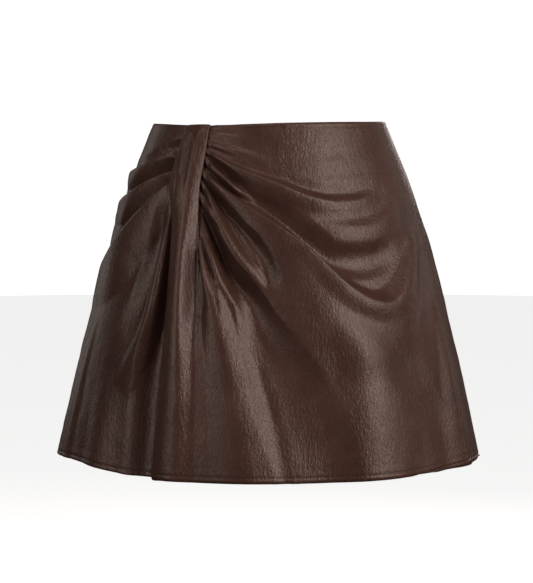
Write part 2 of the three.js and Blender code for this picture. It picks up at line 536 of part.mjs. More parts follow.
// The column is a rounded ridge: a quarter wave up from its edge to the crest, and down to the lip.
function columnLift(turn, drop) {
  const column = readTable(COLUMN, "drop", drop);
  const across = clamp((turn - column.left) / (column.right - column.left), 0, 1);
  if (across < column.at) {
    return lerp(column.edge, column.crest, Math.sin(((across / column.at) * Math.PI) / 2));
  }
  const lip = lerp(column.lip, drapeLift(column.right, drop), smoothstep(drop, SLASH_END - 30, SLASH_END));
  const down = Math.min((across - column.at) / (column.foot - column.at), 1);
  const fade = (1 + Math.cos(down * Math.PI)) / 2;
  return lerp(lip, column.crest, lerp(fade, Math.cos((down * Math.PI) / 2), column.roll));
}

const drapeLift = (turn, drop) => DRAPE_LIFT + foldsLift(drapeFolds, turn, drop);
const underside = (lift) => lift - WALL - LAYER_GAP;

// Folds swell again as they come out from under the column.
function swell(free, covered, turn, edgeTurn, drop) {
  const out = Math.abs(arcOf(turn, drop) - arcOf(edgeTurn, drop));
  return Math.min(free, covered + Math.max(out - SWELL.clear, 0) * SWELL.rise);
}

// The slash's tucked side, which runs in under the lip and comes out to it at the slash's end.
function tuckTurn(drop) {
  const { right } = readTable(COLUMN, "drop", drop);
  const opening = lerp(TUCK.atWaist, 1, smoothstep(drop, -TUCK.fullAt, TUCK.fullAt));
  return right - TUCK.wide * opening * (1 - smoothstep(drop, TUCK.fadeFrom, SLASH_END));
}

function drapeLiftUnderLip(turn, drop) {
  const { right } = readTable(COLUMN, "drop", drop);
  const free = drapeLift(turn, drop);
  if (drop >= SLASH_END) return free;
  if (turn <= right) return Math.min(free, underside(columnLift(turn, drop)));
  const held = swell(free, underside(columnLift(right, drop)), turn, right, drop);
  return lerp(held, free, smoothstep(drop, TUCK.fadeFrom, SLASH_END));
}

function pleatLift(turn, drop) {
  const { left } = readTable(COLUMN, "drop", drop);
  const free = foldsLift(pleatFolds, turn, drop);
  if (turn <= left) return swell(free, underside(columnLift(left, drop)), turn, left, drop);
  const end = tuckTurn(drop);
  const inward = Math.min((turn - left) / (end - left), 1);
  const sink = SLASH_SINK.deep * bump(drop, SLASH_END, SLASH_SINK.span);
  const tucked = underside(drapeLiftUnderLip(end, drop)) - sink;
  const under = lerp(free, tucked, smoothstep(inward, BLEND.from, BLEND.to));
  return Math.min(under, underside(columnLift(turn, drop)));
}

// ---------------------------------------------------------------- walls

// A sheet of cloth: named points, each with the direction of its own thickness where that is set,
// and the four-cornered facets between them, turned to face out.
class Sheet {
  constructor() {
    this.points = [];
    this.names = new Map();
    this.quads = [];
  }

  add(name, point, through = null) {
    if (!this.names.has(name)) {
      this.names.set(name, this.points.length);
      this.points.push({ point, through, normal: new THREE.Vector3() });
    }
    return this.names.get(name);
  }

  facet(...corners) {
    this.quads.push(corners);
    const [a, b, c, d] = corners.map((i) => this.points[i].point);
    const normal = new THREE.Vector3().subVectors(c, a).cross(new THREE.Vector3().subVectors(d, b));
    for (const i of new Set(corners)) this.points[i].normal.add(normal);
  }

  // A closed wall: the sheet, a copy of it `thick` further in, and a rim round every free edge.
  wall(thick) {
    const [outer, count] = [this.points.map((p) => p.point), this.points.length];
    const inner = this.points.map(({ point, through, normal }) =>
      point.clone().addScaledVector(through ?? normal.normalize(), -thick));
    const triangles = [];
    const edges = new Map();
    for (const quad of this.quads) {
      const ring = quad.filter((corner, k) => corner !== quad[(k + 1) % quad.length]);
      for (let k = 1; k < ring.length - 1; k++) {
        const [a, b, c] = [ring[0], ring[k], ring[k + 1]];
        triangles.push([a, b, c], [a + count, c + count, b + count]);
      }
      ring.forEach((a, k) => {
        const b = ring[(k + 1) % ring.length];
        edges.set(`${a},${b}`, [a, b]);
      });
    }
    for (const [a, b] of edges.values()) {
      if (!edges.has(`${b},${a}`)) triangles.push([b, a, a + count], [b, a + count, b + count]);
    }
    const geometry = new THREE.BufferGeometry().setFromPoints([...outer, ...inner]);
    geometry.setIndex(triangles.flat());
    geometry.computeVertexNormals();
    return geometry;
  }
}

// The corners of a grid's cell, in order round it.
const aroundCell = (corner, row, column) =>
  [corner(row, column), corner(row + 1, column), corner(row + 1, column + 1), corner(row, column + 1)];

// A plain grid, rows from the top down and columns towards the wearer's left.
function gridSheet(rows, columns, pointAt, throughAt = () => null) {
  const sheet = new Sheet();
  const corner = (row, column) =>
    sheet.add(`${row},${column}`, pointAt(row, column), throughAt(row, column));
  for (let row = 0; row < rows; row++) {
    for (let column = 0; column < columns; column++) {
      sheet.facet(...aroundCell(corner, row, column));
    }
  }
  return sheet;
}

const seamShift = (point, by) => point.setY(point.y + by);

// ---------------------------------------------------------------- the front

// Places spread along a guide line, closer together where it starts if `bias` is over 1.
function placesAlong(rows, count, bias) {
  const line = crestLine(rows);
  const lengths = [0];
  for (let k = 1; k < line.length; k++) {
    lengths.push(lengths[k - 1] + Math.hypot(line[k].arc - line[k - 1].arc, line[k].drop - line[k - 1].drop));
  }
  return Array.from({ length: count + 1 }, (_, step) => {
    const reach = (step / count) ** bias * lengths.at(-1);
    let k = 1;
    while (k < lengths.length - 1 && lengths[k] < reach) k++;
    const t = clamp((reach - lengths[k - 1]) / (lengths[k] - lengths[k - 1]), 0, 1);
    return { turn: lerp(line[k - 1].turn, line[k].turn, t), drop: lerp(line[k - 1].drop, line[k].drop, t) };
  });
}

// A grid of places that follows guide lines: each guide is followed by `lines` more, up to the next.
function guidedPlaces(guides, count, bias) {
  const spread = guides.map((guide) => placesAlong(guide.rows, count, bias));
  const places = [spread[0]];
  for (let k = 0; k < guides.length - 1; k++) {
    for (let line = 1; line <= guides[k].lines; line++) {
      const t = line / guides[k].lines;
      places.push(spread[k].map((place, step) => {
        const next = spread[k + 1][step];
        return { turn: lerp(place.turn, next.turn, t), drop: lerp(place.drop, next.drop, t) };
      }));
    }
  }
  return places;
}

// Values from each knot to the next in even steps, and the last knot's own.
function stepsBetween(knots) {
  const steps = knots.slice(1).flatMap((knot, k) => Array.from({ length: knots[k].steps }, (_, step) =>
    lerp(knots[k].value, knot.value, step / knots[k].steps)));
  return [...steps, knots.at(-1).value];
}

const waistRows = (from, to) => Array.from({ length: 11 }, (_, k) => {
  const turn = lerp(from, to, k / 10);
  return { turn, drop: waistDrop(turn) };
});

// The fan's rays run from the slash to the side seam and the hem. The first is the waist and the
// last the valley below the slash, and those between follow the folds.
function fanPlaces() {
  const { rings, ringBias } = FACETS;
  const onSlash = (drop) => ({ turn: tuckTurn(drop), drop });
  const onHem = (turn) => ({ turn, drop: hemDrop(turn) });
  const valleyFoot = hemDrop(tuckTurn(HEM.drop));
  const valleyRows = [0, 0.25, 0.5, 0.75, 1].map((t) => onSlash(lerp(SLASH_END, valleyFoot, t)));
  const guides = FAN_GUIDES.map(({ lines, from, through, toTurn, toDrop }) => {
    const end = toDrop === undefined ? onHem(toTurn) : { turn: toTurn, drop: toDrop };
    return { lines, rows: [onSlash(from), ...through, end] };
  });
  const waistGuide = { lines: FACETS.raysAtWaist, rows: waistRows(tuckTurn(waistDrop(COLUMN[0].right)), 90) };
  const places = guidedPlaces([waistGuide, ...guides, { rows: valleyRows }], rings, ringBias);
  for (const ray of places) {
    const [first, last] = [ray[0], ray[rings]];
    if (ray !== places.at(-1)) first.turn = tuckTurn(first.drop);
    if (last.turn < SIDE_SEAM) last.drop = hemDrop(last.turn);
  }
  return places;
}

function frontDrape() {
  const { rings, columnAcross, columnUpper } = FACETS;
  const sheet = new Sheet();
  const places = fanPlaces();
  const rays = places.length - 1;

  const fanCorner = (ray, ring) => {
    const { turn, drop } = places[ray][ring];
    const point = clothPoint(turn, drop, drapeLiftUnderLip(turn, drop));
    const onSeam = ring === rings && turn >= SIDE_SEAM;
    if (onSeam) seamShift(point, -SEAM_GAP / 2);
    return sheet.add(`fan ${ray},${ring}`, point, onSeam ? bodyNormal(turn, drop) : null);
  };
  for (let ray = 0; ray < rays; ray++) {
    for (let ring = 0; ring < rings; ring++) {
      sheet.facet(...aroundCell(fanCorner, ray, ring));
    }
  }

  // The column's rows: its own beside the slash, and the last ray's below it.
  const lowerDrops = places[rays].map((place) => place.drop);
  const top = waistDrop(COLUMN[0].right);
  const upperDrops = Array.from({ length: columnUpper }, (_, row) => lerp(top, SLASH_END, row / columnUpper));
  const drops = [...upperDrops, ...lowerDrops];
  const columnCorner = (row, column) => {
    if (row >= columnUpper && column === columnAcross) return fanCorner(rays, row - columnUpper);
    const across = column / columnAcross;
    const { left, right } = readTable(COLUMN, "drop", drops[row]);
    const turn = lerp(left, right, across);
    const edgeDrop = row === 0 ? waistDrop(turn) : row === drops.length - 1 ? hemDrop(turn) : drops[row];
    return sheet.add(`column ${row},${column}`, clothPoint(turn, edgeDrop, columnLift(turn, edgeDrop)));
  };
  for (let row = 0; row < drops.length - 1; row++) {
    for (let column = 0; column < columnAcross; column++) {
      sheet.facet(...aroundCell(columnCorner, row, column));
    }
  }
  return sheet.wall(WALL);
}

// The pleated half runs from the side seam in under the column, to the slash's tucked side. Its
// rows follow the pleats, and its columns the ridge that falls beside the column.
function frontPleated() {
  const hemRows = waistRows(-90, tuckTurn(HEM.drop)).map(({ turn }) => {
    return { turn, drop: hemDrop(turn) - WALL };
  });
  const waistGuide = { lines: FACETS.rowsAtWaist, rows: waistRows(-90, tuckTurn(0)) };
  const guides = [waistGuide, ...PLEAT_GUIDES, { lines: 1, rows: hemRows }];
  const dropsAt = (turn) => stepsBetween(guides.map(({ lines, rows }) => {
    return { value: readTable(rows, "turn", turn).drop, steps: lines };
  }));
  const ridgeRows = PLEAT_FOLDS.fallingRidge.rows;
  const turnsAt = dropsAt(ridgeRows[1].turn).map((drop) => {
    const ridge = readTable(ridgeRows, "drop", drop).turn;
    const knots = PLEAT_COLUMNS.map(({ columns, beside, turn }) => {
      return { value: turn ?? ridge + beside, steps: columns };
    });
    return stepsBetween([...knots, { value: tuckTurn(drop) }]);
  });
  const placeAt = (row, column) => {
    const turn = turnsAt[row][column];
    return { turn, drop: dropsAt(turn)[row] };
  };
  const pointAt = (row, column) => {
    const { turn, drop } = placeAt(row, column);
    const point = clothPoint(turn, drop, pleatLift(turn, drop));
    return column === 0 ? seamShift(point, -SEAM_GAP / 2) : point;
  };
  const throughAt = (row, column) => {
    const { turn, drop } = placeAt(row, column);
    return column === 0 ? bodyNormal(turn, drop) : null;
  };
  return gridSheet(turnsAt.length - 1, turnsAt[0].length - 1, pointAt, throughAt).wall(WALL);
}

// ---------------------------------------------------------------- the back

// Half the gap between the zip's lips.
function lipPart(drop) {
  const closed = smoothstep(Math.abs(drop - LIPS.drop), LIPS.reach / 2, LIPS.reach);
  return lerp(LIPS.part, SEAM_GAP, closed) / 2;
}

// `side` is 1 for the wearer's left half and -1 for the right.
function backHalf(side) {
  const { backAcross, backDown } = FACETS;
  const lipRows = [-1, -0.5, 0.5, 1].map((share) => LIPS.drop + share * LIPS.reach);
  const rowDrops = [0, ...lipRows, ...Array.from({ length: backDown }, (_, k) =>
    lerp(BACK_FLUTES.plainTo, HEM.drop, k / (backDown - 1)))];
  const placeAt = (row, column) => {
    const across = column / backAcross;
    const turn = side * lerp(90, 180, side > 0 ? across : 1 - across);
    const drop = row === 0 ? waistDrop(turn) : row === rowDrops.length - 1 ? hemDrop(turn) : rowDrops[row];
    return { turn, drop };
  };
  const [seamColumn, centreColumn] = side > 0 ? [0, backAcross] : [backAcross, 0];
  const pointAt = (row, column) => {
    const { turn, drop } = placeAt(row, column);
    const point = clothPoint(turn, drop, backLift(turn, drop));
    if (column === seamColumn) seamShift(point, SEAM_GAP / 2);
    if (column === centreColumn) point.setX(side * lipPart(drop));
    return point;
  };
  const throughAt = (row, column) => {
    const { turn, drop } = placeAt(row, column);
    return column === seamColumn || column === centreColumn ? bodyNormal(turn, drop) : null;
  };
  return gridSheet(rowDrops.length - 1, backAcross, pointAt, throughAt).wall(WALL);
}

// ---------------------------------------------------------------- the inner shorts

// How far in the skirt's own wall reaches, at the waist.
function skirtInside(turn, drop) {
  if (Math.abs(turn) > 90) return backLift(turn, drop) - WALL;
  return (turn < tuckTurn(drop) ? pleatLift(turn, drop) : drapeLiftUnderLip(turn, drop)) - WALL;
}

function shortsHalf(side) {
  const { shortsAcross } = FACETS;
  const { crotchDrop, hemDrop: legHem, hemGap, hemHalf, front, back } = SHORTS_LEG;
  const legDrops = [1 / 3, 2 / 3, 1].map((share) => lerp(crotchDrop, legHem, share));
  const drops = [0, ...SHORTS_FORM.map((row) => row.drop), ...legDrops];
  const crotchRow = SHORTS_FORM.length;

  // Round the half from the centre front, over the hip, to the centre back.
  const bodyPlace = (form, angle) => {
    const depth = Math.cos(angle) > 0 ? form.front : form.back;
    return new THREE.Vector2(form.half * Math.sin(angle), -depth * Math.cos(angle));
  };
  // Round the leg from the inner thigh, over the front, the outside and the back.
  const legPlace = (gap, half, before, behind, angle) => {
    const depth = angle < Math.PI / 2 ? before : behind;
    const out = (half + gap) / 2 - ((half - gap) / 2) * Math.cos(2 * angle);
    return new THREE.Vector2(out, -depth * Math.sin(2 * angle));
  };
  const placeAt = (row, column) => {
    const drop = drops[row];
    const angle = (Math.PI * column) / shortsAcross;
    const form = readTable(SHORTS_FORM, "drop", Math.min(drop, crotchDrop));
    if (row > crotchRow) {
      const t = (drop - crotchDrop) / (legHem - crotchDrop);
      return legPlace(lerp(SEAM_GAP, hemGap, t), lerp(form.half, hemHalf, t),
        lerp(form.front, front, t), lerp(form.back, back, t), Math.abs(angle));
    }
    const nearCentre = Math.cos(angle) ** CENTRE_SHARE;
    const share = lerp(form.out, form.crotch, nearCentre);
    const leg = legPlace(SEAM_GAP, form.half, form.front * LEG_DEPTH, form.back * LEG_DEPTH, angle);
    return bodyPlace(form, angle).lerp(leg, share);
  };
  const pointAt = (row, column) => {
    const onCentre = row <= crotchRow && (column === 0 || column === shortsAcross);
    if (row === 0) { // sewn in at the waist, just inside the skirt
      const turn = side * ((180 * column) / shortsAcross);
      const drop = waistDrop(turn) + SHORTS_WAIST;
      const point = clothPoint(turn, drop, skirtInside(turn, drop) - SHORTS_CLEAR);
      return onCentre ? point.setX((side * SEAM_GAP) / 2) : point;
    }
    const place = placeAt(row, column);
    return new THREE.Vector3(onCentre ? (side * SEAM_GAP) / 2 : side * place.x, place.y, -drops[row]);
  };

  const sheet = new Sheet();
  const rows = drops.length - 1;
  const corner = (row, column) => {
    const welded = row >= crotchRow && column === shortsAcross ? 0 : column;
    const onCentre = row < crotchRow && (column === 0 || column === shortsAcross);
    const through = onCentre ? new THREE.Vector3(0, column === 0 ? -1 : 1, 0) : null;
    return sheet.add(`${row},${welded}`, pointAt(row, welded), through);
  };
  for (let row = 0; row < rows; row++) {
    for (let column = 0; column < shortsAcross; column++) {
      const quad = aroundCell(corner, row, column);
      sheet.facet(...(side > 0 ? quad : quad.reverse()));
    }
  }
  return sheet.wall(KNIT_WALL);
}

// ---------------------------------------------------------------- the zip

// `side` is 1 for the wearer's left tape and -1 for the right.
function zipTape(side) {
  const { top, length, tapeWide, tapeThick, tapesApart, behind } = ZIP;
  const { tapeAcross, tapeDown } = FACETS;
  const pointAt = (row, column) => {
    const drop = lerp(top, top + length, row / tapeDown);
    const across = column / tapeAcross;
    const out = side * (tapesApart / 2 + tapeWide * (side > 0 ? 1 - across : across));
    const { half, back } = readTable(BODY_FORM, "drop", drop);
    const onForm = new THREE.Vector3(out, back * Math.sqrt(1 - (out / half) ** 2), -drop);
    return onForm.addScaledVector(bodyNormal(180, drop), -WALL - behind);
  };
  return gridSheet(tapeDown, tapeAcross, pointAt).wall(tapeThick);
}

// The slider's own frame: its origin is on the cloth between the lips, X is the wearer's left, Y is
// out from the cloth and Z is up along it.
function sliderFrame() {
  const out = bodyNormal(180, LIPS.drop);
  const across = new THREE.Vector3(1, 0, 0);
  const up = new THREE.Vector3().crossVectors(across, out);
  return new THREE.Matrix4().makeBasis(across, out, up).setPosition(bodyPoint(180, LIPS.drop));
}

function placed(solid) {
  const { vertProperties, triVerts } = solid.getMesh();
  const geometry = new THREE.BufferGeometry();
  geometry.setAttribute("position", new THREE.BufferAttribute(new Float32Array(vertProperties), 3));
  geometry.setIndex(new THREE.BufferAttribute(new Uint32Array(triVerts), 1));
  const flat = geometry.toNonIndexed().applyMatrix4(sliderFrame());
  flat.computeVertexNormals();
  return flat;
}

const { Manifold } = wasm;
const block = (wide, deep, tall, y, z) => Manifold.cube([wide, deep, tall], true).translate([0, y, z]);
const rod = (radius, wide) => Manifold.cylinder(wide, radius, radius, EYE.sides, true).rotate([0, 90, 0]);

function zipSlider() {
  const bodyFront = -(WALL + ZIP.behind + ZIP.tapeThick + SLIDER.behind);
  const body = block(SLIDER.wide, SLIDER.thick, SLIDER.tall, bodyFront - SLIDER.thick / 2, 0);
  const neckDeep = EYE.out - bodyFront + SLIDER.thick / 2;
  const neck = block(SLIDER.neckWide, neckDeep, SLIDER.neckTall, EYE.out - neckDeep / 2, 0);
  const ring = rod(EYE.hole + EYE.rim, SLIDER.neckWide).translate([0, EYE.out, 0]);
  const hole = rod(EYE.hole, SLIDER.wide).translate([0, EYE.out, 0]);
  return placed(body.add(neck).add(ring).subtract(hole));
}

function zipPull() {
  const { wide, long, thick, bar, windowWide, windowTall, corner } = PULL;
  const plate = block(wide - 2 * corner, thick, long, 0, bar / 2 - long / 2)
    .add(block(wide, thick, long - 2 * corner, 0, bar / 2 - long / 2));
  const disc = Manifold.cylinder(thick, corner, corner, EYE.sides, true).rotate([90, 0, 0]);
  const corners = [-1, 1].flatMap((side) => [bar / 2 - corner, bar / 2 - long + corner].map((z) =>
    disc.translate([side * (wide / 2 - corner), 0, z])));
  const window = block(windowWide, 2 * thick, windowTall, 0, -bar / 2 - windowTall / 2);
  const pull = corners.reduce((whole, round) => whole.add(round), plate).subtract(window);
  return placed(pull.translate([0, EYE.out, 0]));
}

// ---------------------------------------------------------------- the part

function piece(name, geometry, look) {
  const mesh = new THREE.Mesh(geometry, new THREE.MeshStandardMaterial(look));
  mesh.name = name;
  return mesh;
}

const skort = new THREE.Group();
skort.name = "skort";
skort.add(
  piece("front_drape", frontDrape(), LEATHER),
  piece("front_pleated", frontPleated(), LEATHER),
  piece("back_left", backHalf(1), LEATHER),
  piece("back_right", backHalf(-1), LEATHER),
  piece("shorts_left", shortsHalf(1), JERSEY),
  piece("shorts_right", shortsHalf(-1), JERSEY),
  piece("zip_tape_left", zipTape(1), TAPE),
  piece("zip_tape_right", zipTape(-1), TAPE),
  piece("zip_slider", zipSlider(), METAL),
  piece("zip_pull", zipPull(), METAL),
);

export default skort;
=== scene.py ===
"""The looks of a draped faux-leather mini skort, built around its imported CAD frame.

Every cloth piece is a thin shell on its solid's form, worked out again here at a finer grain, from the
part's sizes and folds, some of them retuned to the photo and some added. Millimetres are used for the
garment and turned into metres in new_mesh. The stage, the lamps and the camera are placed in metres.
A place on the garment is a `turn`, in degrees round the body from the centre front towards the
wearer's left, a `drop`, in millimetres below the waist, and a `lift` out from the body form.
"""

import math

import bpy
import numpy as np
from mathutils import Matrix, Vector


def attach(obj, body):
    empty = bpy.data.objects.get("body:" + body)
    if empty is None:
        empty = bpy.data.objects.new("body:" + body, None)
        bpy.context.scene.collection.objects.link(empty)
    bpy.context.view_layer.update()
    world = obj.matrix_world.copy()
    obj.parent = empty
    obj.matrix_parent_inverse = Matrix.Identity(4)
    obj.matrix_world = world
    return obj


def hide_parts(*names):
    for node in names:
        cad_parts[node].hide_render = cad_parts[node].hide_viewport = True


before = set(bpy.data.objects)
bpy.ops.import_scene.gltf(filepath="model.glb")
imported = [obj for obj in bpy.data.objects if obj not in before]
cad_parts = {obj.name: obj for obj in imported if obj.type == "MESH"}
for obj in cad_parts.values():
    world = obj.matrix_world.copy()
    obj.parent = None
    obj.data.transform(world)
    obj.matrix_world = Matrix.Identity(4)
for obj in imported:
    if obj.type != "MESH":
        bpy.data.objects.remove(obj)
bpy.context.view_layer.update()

MM = 0.001
BODY = "skort"


# ------------------------------------------------------------------ tables and curves


def table(columns, *rows):
    """A table with named columns, as one array for each column."""
    return dict(zip(columns.split(), np.array(rows, float).T))


def read(tab, key, x):
    """The table's columns at x, on a smooth curve through its rows, which are in order of key."""
    keys, last = tab[key], len(tab[key]) - 1
    at = np.clip(np.asarray(x, float), keys[0], keys[-1])
    i = np.clip(np.searchsorted(keys, at) - 1, 0, last - 1)
    span = keys[i + 1] - keys[i]
    t = (at - keys[i]) / span
    after, before = np.minimum(np.arange(last + 1) + 1, last), np.maximum(np.arange(last + 1) - 1, 0)
    found = {}
    for name, value in tab.items():
        slope = (value[after] - value[before]) / (keys[after] - keys[before])
        found[name] = (
            value[i] * (2 * t**3 - 3 * t**2 + 1)
            + value[i + 1] * (3 * t**2 - 2 * t**3)
            + slope[i] * span * (t**3 - 2 * t**2 + t)
            + slope[i + 1] * span * (t**3 - t**2)
        )
    return found


def mix(a, b, t):
    return a + (b - a) * t


def smoothstep(x, low, high):
    t = np.clip((x - low) / (high - low), 0, 1)
    return t * t * (3 - 2 * t)


def bump(x, centre, span):
    return np.exp(-(((x - centre) / span) ** 2))


LATTICE = 64
OFF_ORIGIN = (101.3, 57.7)  # keeps the lattice's own lines away from the garment's centre


def soft_noise(x, y, wide, tall, seed):
    """Smooth uneven values from -1 to 1, with bumps about wide by tall across."""
    lattice = np.random.default_rng(seed).uniform(-1, 1, (LATTICE, LATTICE))
    u, v = x / wide + OFF_ORIGIN[0], y / tall + OFF_ORIGIN[1]
    column, row = np.floor(u).astype(int), np.floor(v).astype(int)
    across, down = smoothstep(u - column, 0, 1), smoothstep(v - row, 0, 1)

    def corner(right, below):
        return lattice[(column + right) % LATTICE, (row + below) % LATTICE]

    return mix(mix(corner(0, 0), corner(1, 0), across), mix(corner(0, 1), corner(1, 1), across), down)


# ------------------------------------------------------------------ sizes, near those in the part's source

SIDE, CENTRE_BACK = 90, 180  # the turns of the seams
ON_SEAM = 1e-6  # how near to a seam's turn counts as on it
SLASH_END = 142
LAYER = 3.1  # from a layer's outside to the outside of the one that lies under it
PRESSED = 1.6  # the same, where they are pressed together at the waist
DRAPE_LIFT = 0.6
SEAM_GAP = 0.02  # the seams are sewn shut here, where the solids stand 0.3 mm apart

BODY_FORM = table(
    "drop half front back", (-6, 124, 90, 92), (0, 126.5, 92, 94), (20, 134.5, 98, 103),
    (72, 155.5, 112, 122), (120, 169.5, 123, 136), (165, 182, 133, 146), (225, 198, 145, 156),
    (285, 212, 156, 165), (380, 232, 170, 177),
)
WAIST = {"back": 3, "lean": 1, "knot": 2.4, "knot_turn": -30, "knot_span": 28}
HEM = {"drop": 369.6, "front": -0.6, "side": -6, "side_turn": 66, "side_span": 20}
COLUMN = table(
    "drop left right edge crest at lip foot roll",
    (-2, -41.5, -29.8, 0.9, 2.6, 0.8, 2, 1, 1),
    (14, -42.5, -29, 2.8, 6.8, 0.74, 4.4, 1, 1),
    (40, -42, -28, 7, 10.5, 0.7, 6, 1, 1),
    (66, -41, -27.7, 8.4, 12.5, 0.66, 6.4, 1, 1),
    (84, -38.8, -27, 9, 13.5, 0.62, 6.2, 1, 1),
    (102, -36.6, -26.4, 9, 14.5, 0.56, 5.6, 1, 0.8),
    (132, -35.2, -25.3, 9, 15.5, 0.5, 4, 0.94, 0.4),
    (184, -33.5, -22.3, 9, 16.5, 0.42, 2, 0.84, 0),
    (278, -31.6, -17.6, 9, 16, 0.37, 2, 0.78, 0),
    (372, -31.3, -14.8, 7, 14, 0.33, 2, 0.74, 0),
)
TUCK = {"wide": 5.2, "at_waist": 0.7, "full_at": 20, "fade_from": 95}
SWELL = {"clear": 4.5, "rise": 0.8}
PLEAT_SWELL = {"clear": 2, "rise": 0.7}


# ------------------------------------------------------------------ the body form


def body_point(turn, drop):
    form, angle = read(BODY_FORM, "drop", drop), np.radians(turn)
    depth = np.where(np.cos(angle) > 0, form["front"], form["back"])
    return np.stack([form["half"] * np.sin(angle), -depth * np.cos(angle), -np.asarray(drop, float)], -1)


def unit(v):
    return v / np.maximum(np.linalg.norm(v, axis=-1, keepdims=True), 1e-12)


def body_normal(turn, drop):
    around = body_point(turn + 0.5, drop) - body_point(turn - 0.5, drop)
    down = body_point(turn, drop + 1) - body_point(turn, drop - 1)
    return unit(np.cross(down, around))


def cloth_point(turn, drop, lift):
    return body_point(turn, drop) + body_normal(turn, drop) * np.asarray(lift)[..., None]


def waist_drop(turn):
    face = np.cos(np.radians(turn))
    dip = WAIST["knot"] * bump(turn, WAIST["knot_turn"], WAIST["knot_span"])
    lean = WAIST["lean"] * np.sin(np.radians(turn))
    return WAIST["back"] * np.maximum(-face, 0) - lean + dip


def hem_drop(turn):
    raised = HEM["side"] * bump(np.abs(turn), HEM["side_turn"], HEM["side_span"])
    return HEM["drop"] + HEM["front"] * np.cos(np.radians(turn)) + raised


def arc_of(turn, drop):
    form = read(BODY_FORM, "drop", drop)
    return np.radians(turn) * (form["half"] + form["front"]) / 2


# ------------------------------------------------------------------ folds

CREST_STEPS = 10  # pieces of a crest's line from one row to the next


def crest_line(rows):
    """A fold's crest as a chain of points, smooth through its rows."""
    number = np.arange(len(rows["turn"]), dtype=float)
    steps = np.linspace(0, number[-1], (len(number) - 1) * CREST_STEPS + 1)
    line = read({**rows, "number": number}, "number", steps)
    line["arc"] = arc_of(line["turn"], line["drop"])
    return line


def fold_on(rows, upper_foot, lower_foot):
    """A fold on rows of its crest's turn and drop, its height, and how wide its two flanks are.

    A flank's foot is the power that its profile is raised to: above 1 it runs out softly.
    """
    return {"upper_foot": upper_foot, "lower_foot": lower_foot, "rows": rows, "line": crest_line(rows)}


def fold(upper_foot, lower_foot, *rows):
    return fold_on(table("turn drop high upper lower", *rows), upper_foot, lower_foot)


